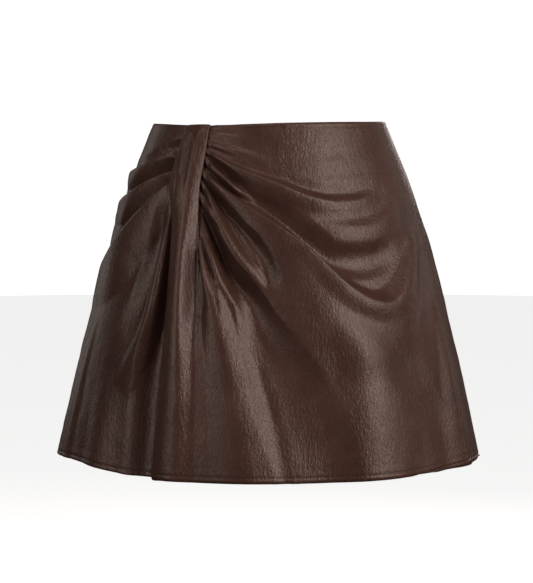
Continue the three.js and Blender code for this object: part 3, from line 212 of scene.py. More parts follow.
DRAPE_FOLDS = {
    "first_gather": fold(1.6, 1.6, (-30, 12, 0.8, 3, 4), (-21, 15, 1.6, 4, 5), (-6, 20, 0, 6, 7)),
    "second_gather": fold(
        1, 1.4, (-31, 21, 1.6, 3, 3), (-22, 26, 3.2, 3.5, 5), (-11, 33, 2.2, 4.5, 8), (2, 44, 0, 6, 10),
    ),
    "high_swag": fold(
        1.3, 1.8, (-31, 28, 4, 2, 3), (-26.4, 32.5, 5, 2.6, 4), (-19, 41.5, 6.5, 3.4, 8),
        (-14, 48, 7.5, 4, 13), (-4, 58, 7.6, 4.4, 17), (6, 67.5, 6.8, 4.6, 19),
        (15, 76.5, 5.6, 4.8, 21), (24, 81.5, 4.6, 5.4, 22), (35.5, 81.5, 2.8, 7, 22),
        (48, 75, 0, 9, 20),
    ),
    "high_swag_tuck": fold(
        1.5, 1, (4, 60, 0, 8, 3), (12, 69, -1.4, 12, 3.4), (22, 75.5, -2.2, 14, 4),
        (33, 75.5, -1.8, 14, 4.4), (45, 68, 0, 10, 4),
    ),
    "inner_pleat": fold(
        0.8, 0.7, (-31, 34, 3.6, 2, 3), (-27, 40, 5, 2.4, 4), (-23.4, 48.5, 6, 3, 5),
        (-19, 56.5, 6.5, 3, 5.5), (-14.6, 65.5, 6, 3.2, 5.5), (-9.5, 75.5, 4, 3.4, 5),
        (-5, 86, 0, 3, 4),
    ),
    "main_valley": fold(
        1.6, 1.5, (-20, 62, 0, 4, 3), (-12, 75, -3.4, 8, 4), (-3, 88, -6, 13, 4.4),
        (6, 106, -7.5, 18, 4.6), (13, 124, -8, 20, 5), (20, 141, -8, 20, 7), (26, 147, -7, 22, 14),
        (34, 147, -6, 22, 19), (42, 142, -4.6, 20, 18), (51, 129, 0, 14, 11),
    ),
    "main_swag": fold(
        1.2, 1.5, (-31, 47, 4, 2, 3.5), (-26.2, 55.5, 6, 2.4, 5.5), (-18.3, 70, 9, 3, 12),
        (-6.8, 91, 11, 3.6, 28), (3.5, 110, 12.5, 4, 50), (13, 132, 13, 4.2, 66),
        (19, 152, 12.5, 5.4, 84), (25, 171, 12, 8, 96), (33, 187.5, 11, 13, 92),
        (40, 190, 10.5, 17, 70), (47.5, 177, 10, 18, 42), (54.5, 155, 8.5, 16, 26),
        (60, 135, 5.5, 13, 17), (63, 114, 0, 10, 13),
    ),
    "crest_roll": fold(
        1.5, 2, (9, 122, 0, 4, 12), (16, 142, 2, 4, 15), (22, 162, 3.2, 5, 18), (28.5, 179.5, 4, 6, 20),
        (35, 188.5, 4, 7, 21), (41, 189.5, 3.2, 8, 20), (48, 176, 2, 8, 16), (54, 157, 0, 8, 12),
    ),
    "hip_roll": fold(
        2, 1.8, (10, 95, 0, 10, 14), (19, 107, 2.2, 13, 20), (28, 112, 4.2, 16, 24),
        (38, 112, 5, 17, 26), (48, 104, 3.8, 17, 24), (58, 91, 0, 14, 20),
    ),
    "middle_pleat": fold(
        1.3, 1.2, (-31, 58, 3.6, 2, 3), (-26.5, 66, 5, 2.6, 4), (-23, 78, 7, 3.2, 5.5),
        (-19, 97, 9, 4.4, 8), (-14.5, 121, 10.5, 7.5, 12), (-9.6, 144, 9.5, 9.5, 15),
        (-5.6, 162, 6.2, 10, 17), (-1, 183, 0, 9, 15),
    ),
    "first_gap": fold(
        1.1, 1, (-27.5, 35, 0, 2, 2), (-24.5, 40, -2, 3, 2), (-20.5, 47, -3.6, 4.4, 3),
        (-17, 54, -4.2, 6, 4), (-14, 61.5, -4.2, 7, 4.4), (-11, 69.5, -3.4, 7, 5), (-6.5, 82, 0, 5, 5),
    ),
    "second_gap": fold(
        1, 1, (-27, 48, 0, 2, 2), (-24.4, 52, -1.8, 2.6, 2), (-20, 60.5, -2.6, 3, 2.6),
        (-15.6, 69.5, -2.6, 3.4, 3), (-11, 79, -2, 3.6, 3), (-7, 87, 0, 3, 3),
    ),
    "third_gap": fold(
        1.1, 1, (-27, 60, 0, 2, 2), (-24, 68.5, -2.4, 3, 2.6), (-21, 77, -3.6, 4, 3.4),
        (-17, 89, -4.6, 6, 5), (-13, 103, -4.8, 8, 6.5), (-9.6, 118, -4.2, 9, 7.5),
        (-6, 135, -2.4, 8, 8), (-3, 150, 0, 6, 6),
    ),
    "pleat_end_pocket": fold(
        1.4, 1.2, (-16, 92, 0, 4, 3), (-11, 106, -3, 5, 4), (-6, 121, -4.5, 7, 6),
        (-2, 140, -4.5, 8, 7), (0, 158, -3, 8, 8), (1.5, 176, 0, 8, 8),
    ),
    "short_pleat": fold(
        0.7, 0.7, (-30.5, 71, 3.4, 2, 3), (-26, 81, 4.6, 2.4, 3.4), (-23.4, 90, 5.4, 2.6, 4),
        (-21.2, 98.5, 5, 3, 4.6), (-18.6, 107, 0, 3, 4),
    ),
    "knot_hollow": fold(
        1.2, 1.2, (-25.4, 90, 0, 2, 2), (-23, 105, -5, 4, 3), (-18.5, 128, -9, 8, 5),
        (-14.3, 151, -11, 12, 8), (-10, 168, -11, 14, 11), (-6.4, 184, -9.5, 15, 14),
        (-3.8, 204, -9, 20, 18), (-0.8, 228, -8.2, 28, 24), (2.2, 254, -8, 34, 30),
        (5.6, 284, -7.4, 40, 36), (9.6, 316, -6.6, 40, 40), (13, 350, -6, 38, 42),
        (15, 380, -5.6, 36, 44),
    ),
    "narrow_ridge": fold(
        0.8, 0.8, (-26, 108, 0, 3, 2.5), (-24.6, 117, 3.6, 3.6, 2.6), (-21.3, 134, 6, 5, 3),
        (-18.7, 150, 6.5, 6, 4), (-16.7, 166, 6, 7, 5), (-14.6, 180, 4, 9, 7), (-12, 198, 0, 10, 9),
    ),
    "long_fold": fold(
        1.6, 0.95, (-27, 112, 0, 2.5, 2.5), (-25.2, 125, 3.6, 3.4, 2.6), (-22.8, 148, 7.5, 6, 3.4),
        (-20.8, 168, 9.5, 10, 4.4), (-18.8, 184, 9.8, 14, 8), (-17, 204, 9.4, 18, 14),
        (-14.8, 234, 8.8, 22, 22), (-12.8, 268, 8.4, 27, 30), (-11.4, 302, 8, 32, 36),
        (-10, 340, 7.6, 38, 40), (-9, 380, 7.4, 42, 42),
    ),
    "flank_groove": fold(
        1.2, 1.2, (-5, 232, 0, 5, 5), (-2.4, 262, -0.9, 6, 6), (0.6, 302, -1.3, 7, 7),
        (3.2, 350, -1.4, 8, 8), (4.4, 380, -1.4, 8, 8),
    ),
    "hanging_fold": fold(
        1.7, 2, (15, 190, 0, 14, 12), (21, 210, 1.6, 18, 18), (26.4, 230, 4.2, 26, 28),
        (30, 251, 7, 36, 38), (31.6, 280, 9, 46, 50), (31.8, 312, 9, 52, 56), (31.4, 345, 8.2, 54, 56),
        (31, 380, 8, 54, 56),
    ),
    "hem_pleat_valley": fold(
        1.5, 1.5, (46, 250, 0, 14, 14), (52, 280, -1.6, 16, 16), (55, 320, -2.4, 18, 18),
        (56, 380, -2.6, 18, 18),
    ),
    "side_flute": fold(
        1.2, 1.5, (71, 176, 0, 6, 9), (69, 214, 3.2, 6, 15), (67.4, 252, 5.4, 7, 20),
        (66.6, 290, 6.6, 8, 25), (66.4, 330, 6.4, 11, 28), (66.4, 380, 5, 16, 30),
    ),
    "hip_swell": fold(
        2, 2, (90, 88, 0, 26, 22), (90, 126, 2.6, 34, 30), (90, 172, 2.8, 38, 34), (90, 214, 0, 34, 34),
    ),
    "seam_flute": fold(
        1.6, 1.6, (90, 170, 0, 14, 12), (90, 216, 1.6, 18, 16), (90, 300, 2.4, 24, 20),
        (90, 380, 3, 30, 24),
    ),
}

PLEAT_FOLDS = {
    "top_pleat": fold(
        0.7, 0.8, (-108, 66, 0, 6, 10), (-92, 61, 1.4, 4.6, 12), (-80, 56, 5.6, 4.2, 17),
        (-69, 51, 7, 4, 18), (-60, 44, 7, 3.6, 18), (-52, 36, 6.8, 3.2, 18), (-45, 31.5, 6.4, 3, 16),
        (-38, 31, 5, 3, 12),
    ),
    "second_pleat": fold(
        0.7, 0.8, (-108, 99, 0, 6, 12), (-92, 93, 3.4, 5, 18), (-80, 87, 6, 4.5, 25),
        (-69, 79, 7.6, 4.2, 26), (-60, 69, 7.6, 4, 22), (-52, 60, 7.4, 3.6, 17), (-45, 54, 7, 3.2, 13),
        (-38, 51.5, 5.4, 3, 9),
    ),
    "third_pleat": fold(
        0.7, 1, (-112, 176, 0, 10, 30), (-94, 166, 3.4, 7.5, 40), (-80, 150, 6.8, 6, 48),
        (-71, 133.5, 9, 5.2, 48), (-64.5, 116, 9.4, 4.8, 42), (-56, 95.5, 9, 4.4, 36),
        (-49, 78, 8, 3.8, 28), (-44, 69, 7.4, 3.4, 20), (-38, 62, 5.6, 3, 12),
    ),
    "falling_ridge": fold(
        1, 1.1, (-38.6, 76, 0, 4, 5), (-39, 98, 4.5, 4.6, 6), (-38.9, 139, 8.5, 6.5, 8),
        (-39.4, 168, 9.5, 8, 10), (-39.8, 196, 9.5, 9.5, 12), (-41, 222, 8, 12, 14),
        (-44, 250, 5, 15, 16), (-48, 282, 0, 16, 18),
    ),
    "outer_valley": fold(
        1.3, 1.2, (-42.6, 84, 0, 4, 7), (-43.4, 105, -3.5, 5, 9), (-43.2, 135, -5, 6, 12),
        (-44.8, 170, -5, 8, 16), (-46.5, 196, -4, 10, 18), (-50, 228, 0, 12, 20),
    ),
    "deep_valley": fold(
        1.5, 1.8, (-36.6, 96, 0, 10, 5), (-36, 150, -4, 14, 6), (-36, 190, -8, 18, 8),
        (-36.4, 240, -12, 20, 20), (-36, 290, -13, 20, 24), (-35, 340, -12, 19, 24),
        (-35, 380, -11, 18, 24),
    ),
    "hem_flute": fold(
        2, 2, (-58, 262, 0, 26, 26), (-55, 310, 3, 30, 28), (-54, 345, 4.5, 32, 30),
        (-54, 380, 5, 34, 32),
    ),
    "seam_ridge": fold(
        1.6, 1.6, (-74, 205, 0, 9, 7), (-74.5, 246, 2, 10, 8), (-75, 300, 3.2, 13, 10),
        (-75.5, 340, 3.4, 16, 12), (-75.5, 380, 3.4, 18, 14),
    ),
    "seam_flare": fold(
        2, 2, (-90, 92, 0, 26, 26), (-90, 114, 3, 30, 30), (-90, 150, 1.4, 34, 34),
        (-90, 190, 3.2, 40, 40), (-90, 270, 4.6, 46, 50), (-90, 330, 6, 52, 60), (-90, 380, 7, 56, 64),
    ),
}


GATHERED = {"from": -66, "to": -42, "deeper": 3}  # turns between which the pleats draw together
VALLEY = {"feet": (1.6, 1), "lower": 0.7, "least": 1}


def valley_above(shape, deep, wide):
    """A hollow along the foot of a fold's upper flank, where the cloth above dives in under it.

    It is deepest beside the column, where the pleats are gathered.
    """
    rows = shape["rows"]
    foot = rows["drop"] - rows["upper"]
    gathered = smoothstep(rows["turn"], GATHERED["from"], GATHERED["to"])
    high = -deep * rows["high"] - GATHERED["deeper"] * gathered
    lower = np.maximum(rows["upper"] * VALLEY["lower"], VALLEY["least"])
    hollow = {"turn": rows["turn"], "drop": foot, "high": high, "upper": np.full_like(foot, wide)}
    return fold_on({**hollow, "lower": lower}, *VALLEY["feet"])


for name, deep, wide in (("top_pleat", 0.34, 12), ("second_pleat", 0.4, 13), ("third_pleat", 0.36, 17)):
    PLEAT_FOLDS[name + "_valley"] = valley_above(PLEAT_FOLDS[name], deep, wide)
BACK_FLUTES = {"turns": (-152, -122, 118, 149), "spread": 11.5, "start": 190, "high": 6}


AT_A_TIME = 6000  # places worked on together, so that memory stays small


def fold_lift(shape, arc, drop):
    """How far one fold lifts the cloth: highest on its crest, and nothing past its flanks."""
    line = shape["line"]
    widest = max(line["upper"].max(), line["lower"].max())
    near = np.flatnonzero(
        (arc > line["arc"].min() - widest) & (arc < line["arc"].max() + widest)
        & (drop > line["drop"].min() - widest) & (drop < line["drop"].max() + widest)
    )
    lift = np.zeros(len(arc))
    start_arc, start_drop = line["arc"][:-1], line["drop"][:-1]
    across, down = np.diff(line["arc"]), np.diff(line["drop"])
    length = across**2 + down**2
    for some in np.array_split(near, len(near) // AT_A_TIME + 1):
        if not len(some):
            continue
        to_arc, to_drop = arc[some, None] - start_arc, drop[some, None] - start_drop
        share = np.clip((to_arc * across + to_drop * down) / length, 0, 1)
        off_arc, off_drop = to_arc - across * share, to_drop - down * share
        distance = np.hypot(off_arc, off_drop)
        k = distance.argmin(1)
        pick = (np.arange(len(some)), k)
        t, side = share[pick], across[k] * off_drop[pick] - down[k] * off_arc[pick]
        flank = {name: mix(line[name][k], line[name][k + 1], t) for name in ("upper", "lower", "high")}
        is_upper = side < 0
        off = distance[pick] / np.where(is_upper, flank["upper"], flank["lower"])
        foot = np.where(is_upper, shape["upper_foot"], shape["lower_foot"])
        lift[some] = flank["high"] * np.clip(1 - off**2, 0, 1) ** foot
    return lift


def folds_lift(folds, turn, drop):
    turn, drop = np.broadcast_arrays(np.asarray(turn, float), np.asarray(drop, float))
    arc, down = arc_of(turn, drop).ravel(), drop.ravel()
    return sum(fold_lift(shape, arc, down) for shape in folds.values()).reshape(turn.shape)


# ------------------------------------------------------------------ the column and what lies under it


PART = (6, 34)  # drops between which the pressed layers come apart
LIP_FADE = 30  # how far above the slash's end the lip starts to settle
SINK = {"deep": 1.7, "span": 10}  # the pleated half's dip under the slash's end
EVEN_UNDER = (0.1, 0.9)  # shares of the way in under the column where it changes form


def layer_at(drop):
    return mix(PRESSED, LAYER, smoothstep(drop, *PART))


def drape_lift(turn, drop):
    return DRAPE_LIFT + folds_lift(DRAPE_FOLDS, turn, drop)


def column_lift(turn, drop):
    column = read(COLUMN, "drop", drop)
    across = np.clip((turn - column["left"]) / (column["right"] - column["left"]), 0, 1)
    up = np.minimum(across / column["at"], 1)
    rising = mix(column["edge"], column["crest"], np.sin(up * math.pi / 2))
    free = drape_lift(column["right"], drop)
    lip = mix(column["lip"], free, smoothstep(drop, SLASH_END - LIP_FADE, SLASH_END))
    down = np.clip((across - column["at"]) / (column["foot"] - column["at"]), 0, 1)
    fading, rolling = (1 + np.cos(down * math.pi)) / 2, np.cos(down * math.pi / 2)
    falling = mix(lip, column["crest"], mix(fading, rolling, column["roll"]))
    return np.where(across < column["at"], rising, falling)


def tuck_turn(drop):
    """The slash's tucked side, which runs in under the lip and comes out to it at the slash's end."""
    opening = mix(TUCK["at_waist"], 1, smoothstep(drop, -TUCK["full_at"], TUCK["full_at"]))
    return read(COLUMN, "drop", drop)["right"] - TUCK["wide"] * opening * (
        1 - smoothstep(drop, TUCK["fade_from"], SLASH_END)
    )


def swell(free, covered, turn, edge_turn, drop, pace=SWELL):
    """Folds swell again as they come out from under the column."""
    out = np.abs(arc_of(turn, drop) - arc_of(edge_turn, drop))
    return np.minimum(free, covered + np.maximum(out - pace["clear"], 0) * pace["rise"])


def drape_lift_under_lip(turn, drop):
    right = read(COLUMN, "drop", drop)["right"]
    free = drape_lift(turn, drop)
    under = np.minimum(free, column_lift(turn, drop) - LAYER)
    held = swell(free, column_lift(right, drop) - LAYER, turn, right, drop)
    beside = mix(held, free, smoothstep(drop, TUCK["fade_from"], SLASH_END))
    return np.where(drop >= SLASH_END, free, np.where(turn <= right, under, beside))


def pleat_lift(turn, drop):
    left = read(COLUMN, "drop", drop)["left"]
    free = folds_lift(PLEAT_FOLDS, turn, drop)
    beside = swell(free, column_lift(left, drop) - layer_at(drop), turn, left, drop, PLEAT_SWELL)
    end = tuck_turn(drop)
    inward = np.clip((turn - left) / (end - left), 0, 1)
    sink = SINK["deep"] * bump(drop, SLASH_END, SINK["span"])
    under = mix(free, drape_lift_under_lip(end, drop) - LAYER - sink, smoothstep(inward, *EVEN_UNDER))
    under = np.minimum(under, column_lift(turn, drop) - layer_at(drop))
    return np.where(turn <= left, beside, under)


def back_lift(turn, drop):
    opening = smoothstep(drop, BACK_FLUTES["start"], HEM["drop"])
    flutes = np.max([bump(turn, at, BACK_FLUTES["spread"]) for at in BACK_FLUTES["turns"]], axis=0)
    beside = (folds_lift(folds, turn, drop) for folds in (PLEAT_FOLDS, DRAPE_FOLDS))
    across_seam = np.where(turn < 0, *beside)
    return BACK_FLUTES["high"] * opening * flutes + across_seam


# ------------------------------------------------------------------ fine relief of the leather

SEEDS = {  # centre_seam is added to a back piece's own, and shorts is moved by its side
    "drape": 21, "pleated": 22, "back_left": 23, "back_right": 24, "centre_seam": 20, "shorts": 31,
}
HEM_STITCH = 5.4  # how far the topstitching is above the hem
TURN_UP = 14  # how much of the hem is doubled

COLUMN_CREASES = {
    "main_groove": fold(
        1, 1, (-35.2, 17, 0, 1.2, 1.4), (-34.9, 24, -1.6, 1.6, 2), (-34.8, 34, -2.6, 1.9, 2.4),
        (-34.7, 45, -2.2, 1.9, 2.4), (-33.9, 60, -1, 1.8, 2.2), (-33.2, 76, 0, 1.6, 2),
    ),
    "second_groove": fold(
        1, 1, (-40.6, 20, 0, 1.4, 1.2), (-40, 30, -1.5, 1.8, 1.6), (-38.9, 48, -1.9, 2, 1.8),
        (-37.6, 64, -1.2, 2, 1.8), (-36.6, 84, 0, 1.8, 1.8),
    ),
    "gather_ridge": fold(
        0.9, 0.9, (-37.4, 10, 0, 1.6, 1.6), (-37.5, 16, 1.1, 2, 2), (-38.4, 31, 1.6, 2.2, 2.2),
        (-38.2, 42, 1.3, 2.4, 2.4), (-37, 62, 0, 2.4, 2.4),
    ),
    "lip_ridge": fold(
        0.9, 0.9, (-33.2, 9, 0, 1.6, 1.6), (-33.6, 15, 1.1, 1.9, 1.9), (-34.1, 25, 0.9, 2, 1.8),
        (-33.4, 40, 0, 2, 1.8),
    ),
    "lip_groove": fold(
        1, 1, (-31.2, 16, 0, 1.2, 1.2), (-31.4, 24, -0.9, 1.5, 1.5), (-31.2, 38, -1.2, 1.7, 1.7),
        (-30.6, 58, 0, 1.6, 1.6),
    ),
}
SURFACE_CREASES = {
    "waist_tuck": fold(
        1, 1.2, (6, 48, 0, 4, 4), (16, 53, -0.4, 5, 5), (27, 55, -0.6, 6, 6), (40, 51, -0.4, 6, 6),
        (50, 44, 0, 5, 5),
    ),
    "under_tuck": fold(
        1, 1.2, (2, 30, 0, 4, 4), (12, 33, -0.3, 5, 5), (22, 34, -0.4, 6, 6), (33, 32, -0.3, 6, 6),
        (42, 28, 0, 5, 5),
    ),
}


CRINKLES = (  # each cell's height, width, length and seed, and how far it leans across and down
    (0.2, 16, 21, 11, 0, 0.1), (0.09, 6, 12, 12, 0.06, 0), (0.06, 3, 6.5, 13, 0, 0),
)
EDGE_ROUND = {"span": 2.4, "waist": 0.8, "hem": 0.9}
# Sewn lines beside an edge: how high each stands, how far in it is, and its span.
WAIST_LINES = ((-0.3, 4.8, 0.9),)
HEM_LINES = ((-0.4, HEM_STITCH, 1), (0.12, 3.2, 1.2), (-0.15, TURN_UP, 1.2))
LEG_HEM_LINES = ((0.35, 2.5, 2), (-0.45, 12, 0.9), (-0.3, 9.6, 0.8))
SEAM = {"groove": 0.9, "wide": 1.6, "pucker": 0.3, "cell": 9, "fade": 5}


def crinkle(turn, drop):
    """The soft crumple of the leather, in cells that are longer down than across."""
    arc = arc_of(turn, drop)
    return sum(
        high * soft_noise(arc + drop * lean, drop + arc * slope, wide, tall, seed)
        for high, wide, tall, seed, lean, slope in CRINKLES
    )


def sewn_lines(lines, inward, relief=0):
    return sum((high * bump(inward, at, span) for high, at, span in lines), relief)


def edge_relief(below_waist, above_hem):
    """Rounded edges: a faced waist with a rolled line below it, and a turned-up hem sewn flat."""

    def rounded(inward, edge):
        return -EDGE_ROUND[edge] * np.clip(1 - inward / EDGE_ROUND["span"], 0, 1) ** 2

    waist = sewn_lines(WAIST_LINES, below_waist, rounded(below_waist, "waist"))
    return waist + sewn_lines(HEM_LINES, above_hem, rounded(above_hem, "hem"))


def seam_relief(off_seam, drop, seed):
    """A pressed seam: a rounded groove with small uneven puckers beside it."""
    pucker = soft_noise(drop, off_seam, SEAM["cell"], SEAM["cell"], seed) * np.exp(-off_seam / SEAM["fade"])
    return -SEAM["groove"] * bump(off_seam, 0, SEAM["wide"]) + SEAM["pucker"] * pucker


def off_side(turn, drop):
    """Millimetres from the nearer side seam."""
    form = read(BODY_FORM, "drop", drop)
    return np.radians(np.abs(SIDE - np.abs(turn))) * (form["front"] + form["back"]) / 2


def fine_relief(turn, drop, seed):
    relief = crinkle(turn, drop) + edge_relief(drop - waist_drop(turn), hem_drop(turn) - drop)
    return relief + seam_relief(off_side(turn, drop), drop, seed)


# ------------------------------------------------------------------ shells of cloth


def grid_quads(index):
    """The quads of a grid of point numbers, rows from the top down and columns to the wearer's left."""
    a, b, c, d = index[:-1, :-1], index[1:, :-1], index[1:, 1:], index[:-1, 1:]
    return np.stack([a, b, c, d], -1).reshape(-1, 4)


def point_normals(points, quads):
    a, b, c, d = (points[quads[:, k]] for k in range(4))
    face = np.cross(c - a, d - b)
    normals = np.zeros_like(points)
    for k in range(4):
        np.add.at(normals, quads[:, k], face)
    return unit(normals)


def quad_edges(quads):
    return np.stack([quads, np.roll(quads, -1, axis=1)], -1).reshape(-1, 2)


def free_edges(quads, count):
    """The edges with a quad on one side only, each as that quad goes round it."""
    edges = quad_edges(quads)
    edges = edges[edges[:, 0] != edges[:, 1]]
    key, reverse = edges[:, 0] * count + edges[:, 1], edges[:, 1] * count + edges[:, 0]
    return edges[~np.isin(key, reverse)]


PASSES = {"drape": 2, "pleated": 1, "back": 3}  # how often each piece's lift is evened out
EVENING = 0.6  # how far each pass moves a value towards its neighbours
RIM_ANGLES = (30, 60, 90, 120, 150)  # where the lines of points lie round a rim


def relaxed(values, quads, count, passes):
    """Values at the points, evened out with their neighbours' but held along the free edges."""
    edges = np.unique(np.sort(quad_edges(quads), axis=1), axis=0)
    edges = edges[edges[:, 0] != edges[:, 1]]
    held = np.unique(free_edges(quads, count))
    near = np.zeros(count)
    np.add.at(near, edges.ravel(), 1)
    for _ in range(passes):
        total = np.zeros(count)
        np.add.at(total, edges[:, 0], values[edges[:, 1]])
        np.add.at(total, edges[:, 1], values[edges[:, 0]])
        evened = mix(values, total / np.maximum(near, 1), EVENING)
        evened[held] = values[held]
        values = evened
    return values


def wall(points, quads, thick, through, rim):
    """A closed shell: the points, a copy of them further in, and a rounded rim along every free edge.

    thick is each point's thickness, through sets the direction of it where it isn't nan, and rim is
    0 where the edge is cut flat for a seam. Returns the points, the faces and how many are outside.
    """
    count = len(points)
    normals = np.where(np.isnan(through), point_normals(points, quads), through)
    thick = np.broadcast_to(thick, count)
    inner = points - normals * thick[:, None]
    edges = free_edges(quads, count)
    along = np.zeros_like(points)
    step = unit(points[edges[:, 1]] - points[edges[:, 0]])
    np.add.at(along, edges[:, 0], step)
    np.add.at(along, edges[:, 1], step)
    on_edge = np.unique(edges)
    outward = unit(np.cross(along[on_edge], normals[on_edge]))
    half = thick[on_edge, None] / 2
    middle = (points[on_edge] + inner[on_edge]) / 2
    rings, number = [], np.full(count, -1)
    number[on_edge] = np.arange(len(on_edge))
    for degrees in RIM_ANGLES:
        angle = math.radians(degrees)
        bulge = math.sin(angle) * outward * rim[on_edge, None]
        rings.append(middle + half * (math.cos(angle) * normals[on_edge] + bulge))
    everything = np.concatenate([points, inner, *rings])
    quads_in = quads[:, ::-1] + count
    between = (number[edges] + 2 * count + k * len(on_edge) for k in range(len(rings)))
    levels = [edges, *between, edges + count]
    rims = [np.stack([up[:, 1], up[:, 0], low[:, 0], low[:, 1]], -1) for up, low in zip(levels, levels[1:])]
    return everything, np.concatenate([quads, quads_in, *rims]), normals, len(quads)


def new_mesh(name, points, faces, looks, look_of=None):
    """A mesh object from millimetre points and faces, which may repeat a corner."""
    mesh = bpy.data.meshes.new(name)
    doubled = (faces == np.roll(faces, -1, axis=1)).any(1)
    plain, squeezed = faces[~doubled], [list(dict.fromkeys(face)) for face in faces[doubled].tolist()]
    is_face = np.array([len(face) >= 3 for face in squeezed], bool)
    squeezed = [face for face in squeezed if len(face) >= 3]
    loops = np.concatenate([plain.ravel(), *squeezed])
    sizes = np.concatenate([np.full(len(plain), plain.shape[1]), [len(face) for face in squeezed]])
    starts = np.concatenate([[0], np.cumsum(sizes)[:-1]])
    mesh.vertices.add(len(points))
    mesh.vertices.foreach_set("co", (np.asarray(points) * MM).astype(np.float32).ravel())
    mesh.loops.add(len(loops))
    mesh.loops.foreach_set("vertex_index", loops.astype(np.int32))
    mesh.polygons.add(len(sizes))
    mesh.polygons.foreach_set("loop_start", starts.astype(np.int32))
    for look in looks:
        mesh.materials.append(look)
    if look_of is not None:
        order = np.concatenate([look_of[~doubled], look_of[doubled][is_face]])
        mesh.polygons.foreach_set("material_index", order.astype(np.int32))
    mesh.update(calc_edges=True)
    mesh.validate()
    mesh.shade_smooth()
    piece = bpy.data.objects.new(name, mesh)
    bpy.context.scene.collection.objects.link(piece)
    return piece


# ------------------------------------------------------------------ where the points of a sheet go

THIN = 1.3  # a single layer of the leather with its knitted backing
HEM_THICK = 2.3
TURN_UP_STEP = (1.5, 0.5)  # how far below and above its edge the turned-up hem thins out
EDGE_STEPS = (0, 0.6, 1.3, 2.2, 3.2, 4.3, 5.4, 6.5, 8, 10, 12.5)  # lines of points beside an edge
STITCHED = EDGE_STEPS.index(HEM_STITCH)
WAIST_POINTS, SLASH_POINTS = 11, 5
# The lengths that the finer steps beside an edge are fitted to.
FITTED = {"fan_waist": 60, "pleat_waist": 45, "pleat_hem": 250, "pleat_side": 120}


def graded(length, count, from_edge=False, to_edge=False, bias=1.0):
    """Shares of a length, in even steps but for the finer ones beside an edge."""
    steps = np.array(EDGE_STEPS) / length
    low, high = (steps[-1] if from_edge else 0), (1 - steps[-1] if to_edge else 1)
    parts = [steps[:-1]] if from_edge else []
    parts.append(low + (high - low) * np.linspace(0, 1, count + 1) ** bias)
    if to_edge:
        parts.append(1 - steps[-2::-1])
    return np.concatenate(parts)


def spread(lines, shares):
    """Lines of places and those between each and the next, at the shares given for each gap."""
    rows = [lines[0]]
    for line, following, between in zip(lines, lines[1:], shares):
        rows += [mix(line, following, t) for t in between[1:]]
    return np.array(rows)


def hem_thickness(turn, drop):
    doubled = 1 - smoothstep(hem_drop(turn) - drop, TURN_UP - TURN_UP_STEP[0], TURN_UP + TURN_UP_STEP[1])
    return mix(THIN, HEM_THICK, doubled)


def waist_places(start, end):
    turn = np.linspace(start, end, WAIST_POINTS)
    return {"turn": turn, "drop": waist_drop(turn)}


def flattened(turn, drop):
    """A grid of places as plain lists, with the number of each in the grid and the quads between them."""
    index = np.arange(drop.size).reshape(drop.shape)
    return turn.ravel(), drop.ravel(), index, grid_quads(index)


def cloth_piece(name, points, quads, thick, turn, drop, on_seam, leather, backing):
    """A shell cut flat along its seams, with the knitted backing inside it down to the turned-up hem."""
    through = np.where(on_seam[:, None], body_normal(turn, drop), np.nan)
    everything, faces, normals, outside = wall(points, quads, thick, through, np.where(on_seam, 0.0, 1.0))
    look_of = np.zeros(len(faces), int)
    above_hem = (hem_drop(turn) - drop)[quads].min(1)
    look_of[outside:2 * outside] = above_hem > TURN_UP
    return new_mesh(name, everything, faces, (leather, backing), look_of), normals


def crest_places(folds, name, first, last=None):
    """Some of the places on a fold's crest, for a line of points that runs along it."""
    rows = folds[name]["rows"]
    return zip(rows["turn"][first:last], rows["drop"][first:last])


# ------------------------------------------------------------------ the front's draped half

RAYS_PER_LINE = 4
RINGS = 150
COLUMN_ACROSS = 44
COLUMN_UPPER = 74

GUIDE_BIAS = 1.25  # crowds a guide line's points towards its start
WAIST_RAYS = 24
UNDER_COLUMN = {"clear": 0.4, "thinnest": 0.4}
COLUMN_BLEND = 30  # how far from the waist and the hem the column's rows take up their slope
COLUMN_CROWDING = 0.6  # how far the column's points are crowded to its two edges
LIP_EDGE = {"thick": 1.3, "span": 7, "fade": 40}
FREE_EDGE = {"thick": (1.3, 2.6), "grows": (60, 200), "span": 7, "starts": (8, 30)}
PARED = {"thin": 0.9, "span": 5}  # the free edge, where it is cut thinner up at the waist

FAN_GUIDES = (  # lines to the next guide, their crowding to it, where it starts, and its way out
    (10, 1.15, 28, *crest_places(DRAPE_FOLDS, "high_swag", 1, 8), (35.5, 84), (62, 86), (SIDE, 92)),
    (7, 1, 47, *crest_places(DRAPE_FOLDS, "main_swag", 1, 9), (42, 196.5), (64, 212), (SIDE, 228)),
    (6, 1, 53, (-22, 71), (-12, 95), (0, 128), (14, 176), (36, 240), (62, 300), (SIDE, None)),
    (7, 1, 58, *crest_places(DRAPE_FOLDS, "middle_pleat", 1, 7), (5, 202), (24, 282), (40, None)),
    (5, 1, 96, *crest_places(DRAPE_FOLDS, "narrow_ridge", 1, 5), (-13.6, 188), (-7, 230), (0, 290),
     (6, None)),
    (5, 1, 118, *crest_places(DRAPE_FOLDS, "long_fold", 2, 4), (-18.6, 184), (-16.2, 204), (-13.4, 234),
     (-10.4, 268), (-8.6, 302), (-6.6, None)),
)


def places_along(rows):
    """Places along a guide line, closer together where it starts and where it ends."""
    line = crest_line(rows)
    length = np.concatenate([[0], np.cumsum(np.hypot(np.diff(line["arc"]), np.diff(line["drop"])))])
    reach = graded(length[-1], RINGS, to_edge=True, bias=GUIDE_BIAS) * length[-1]
    return np.stack([np.interp(reach, length, line["turn"]), np.interp(reach, length, line["drop"])], -1)


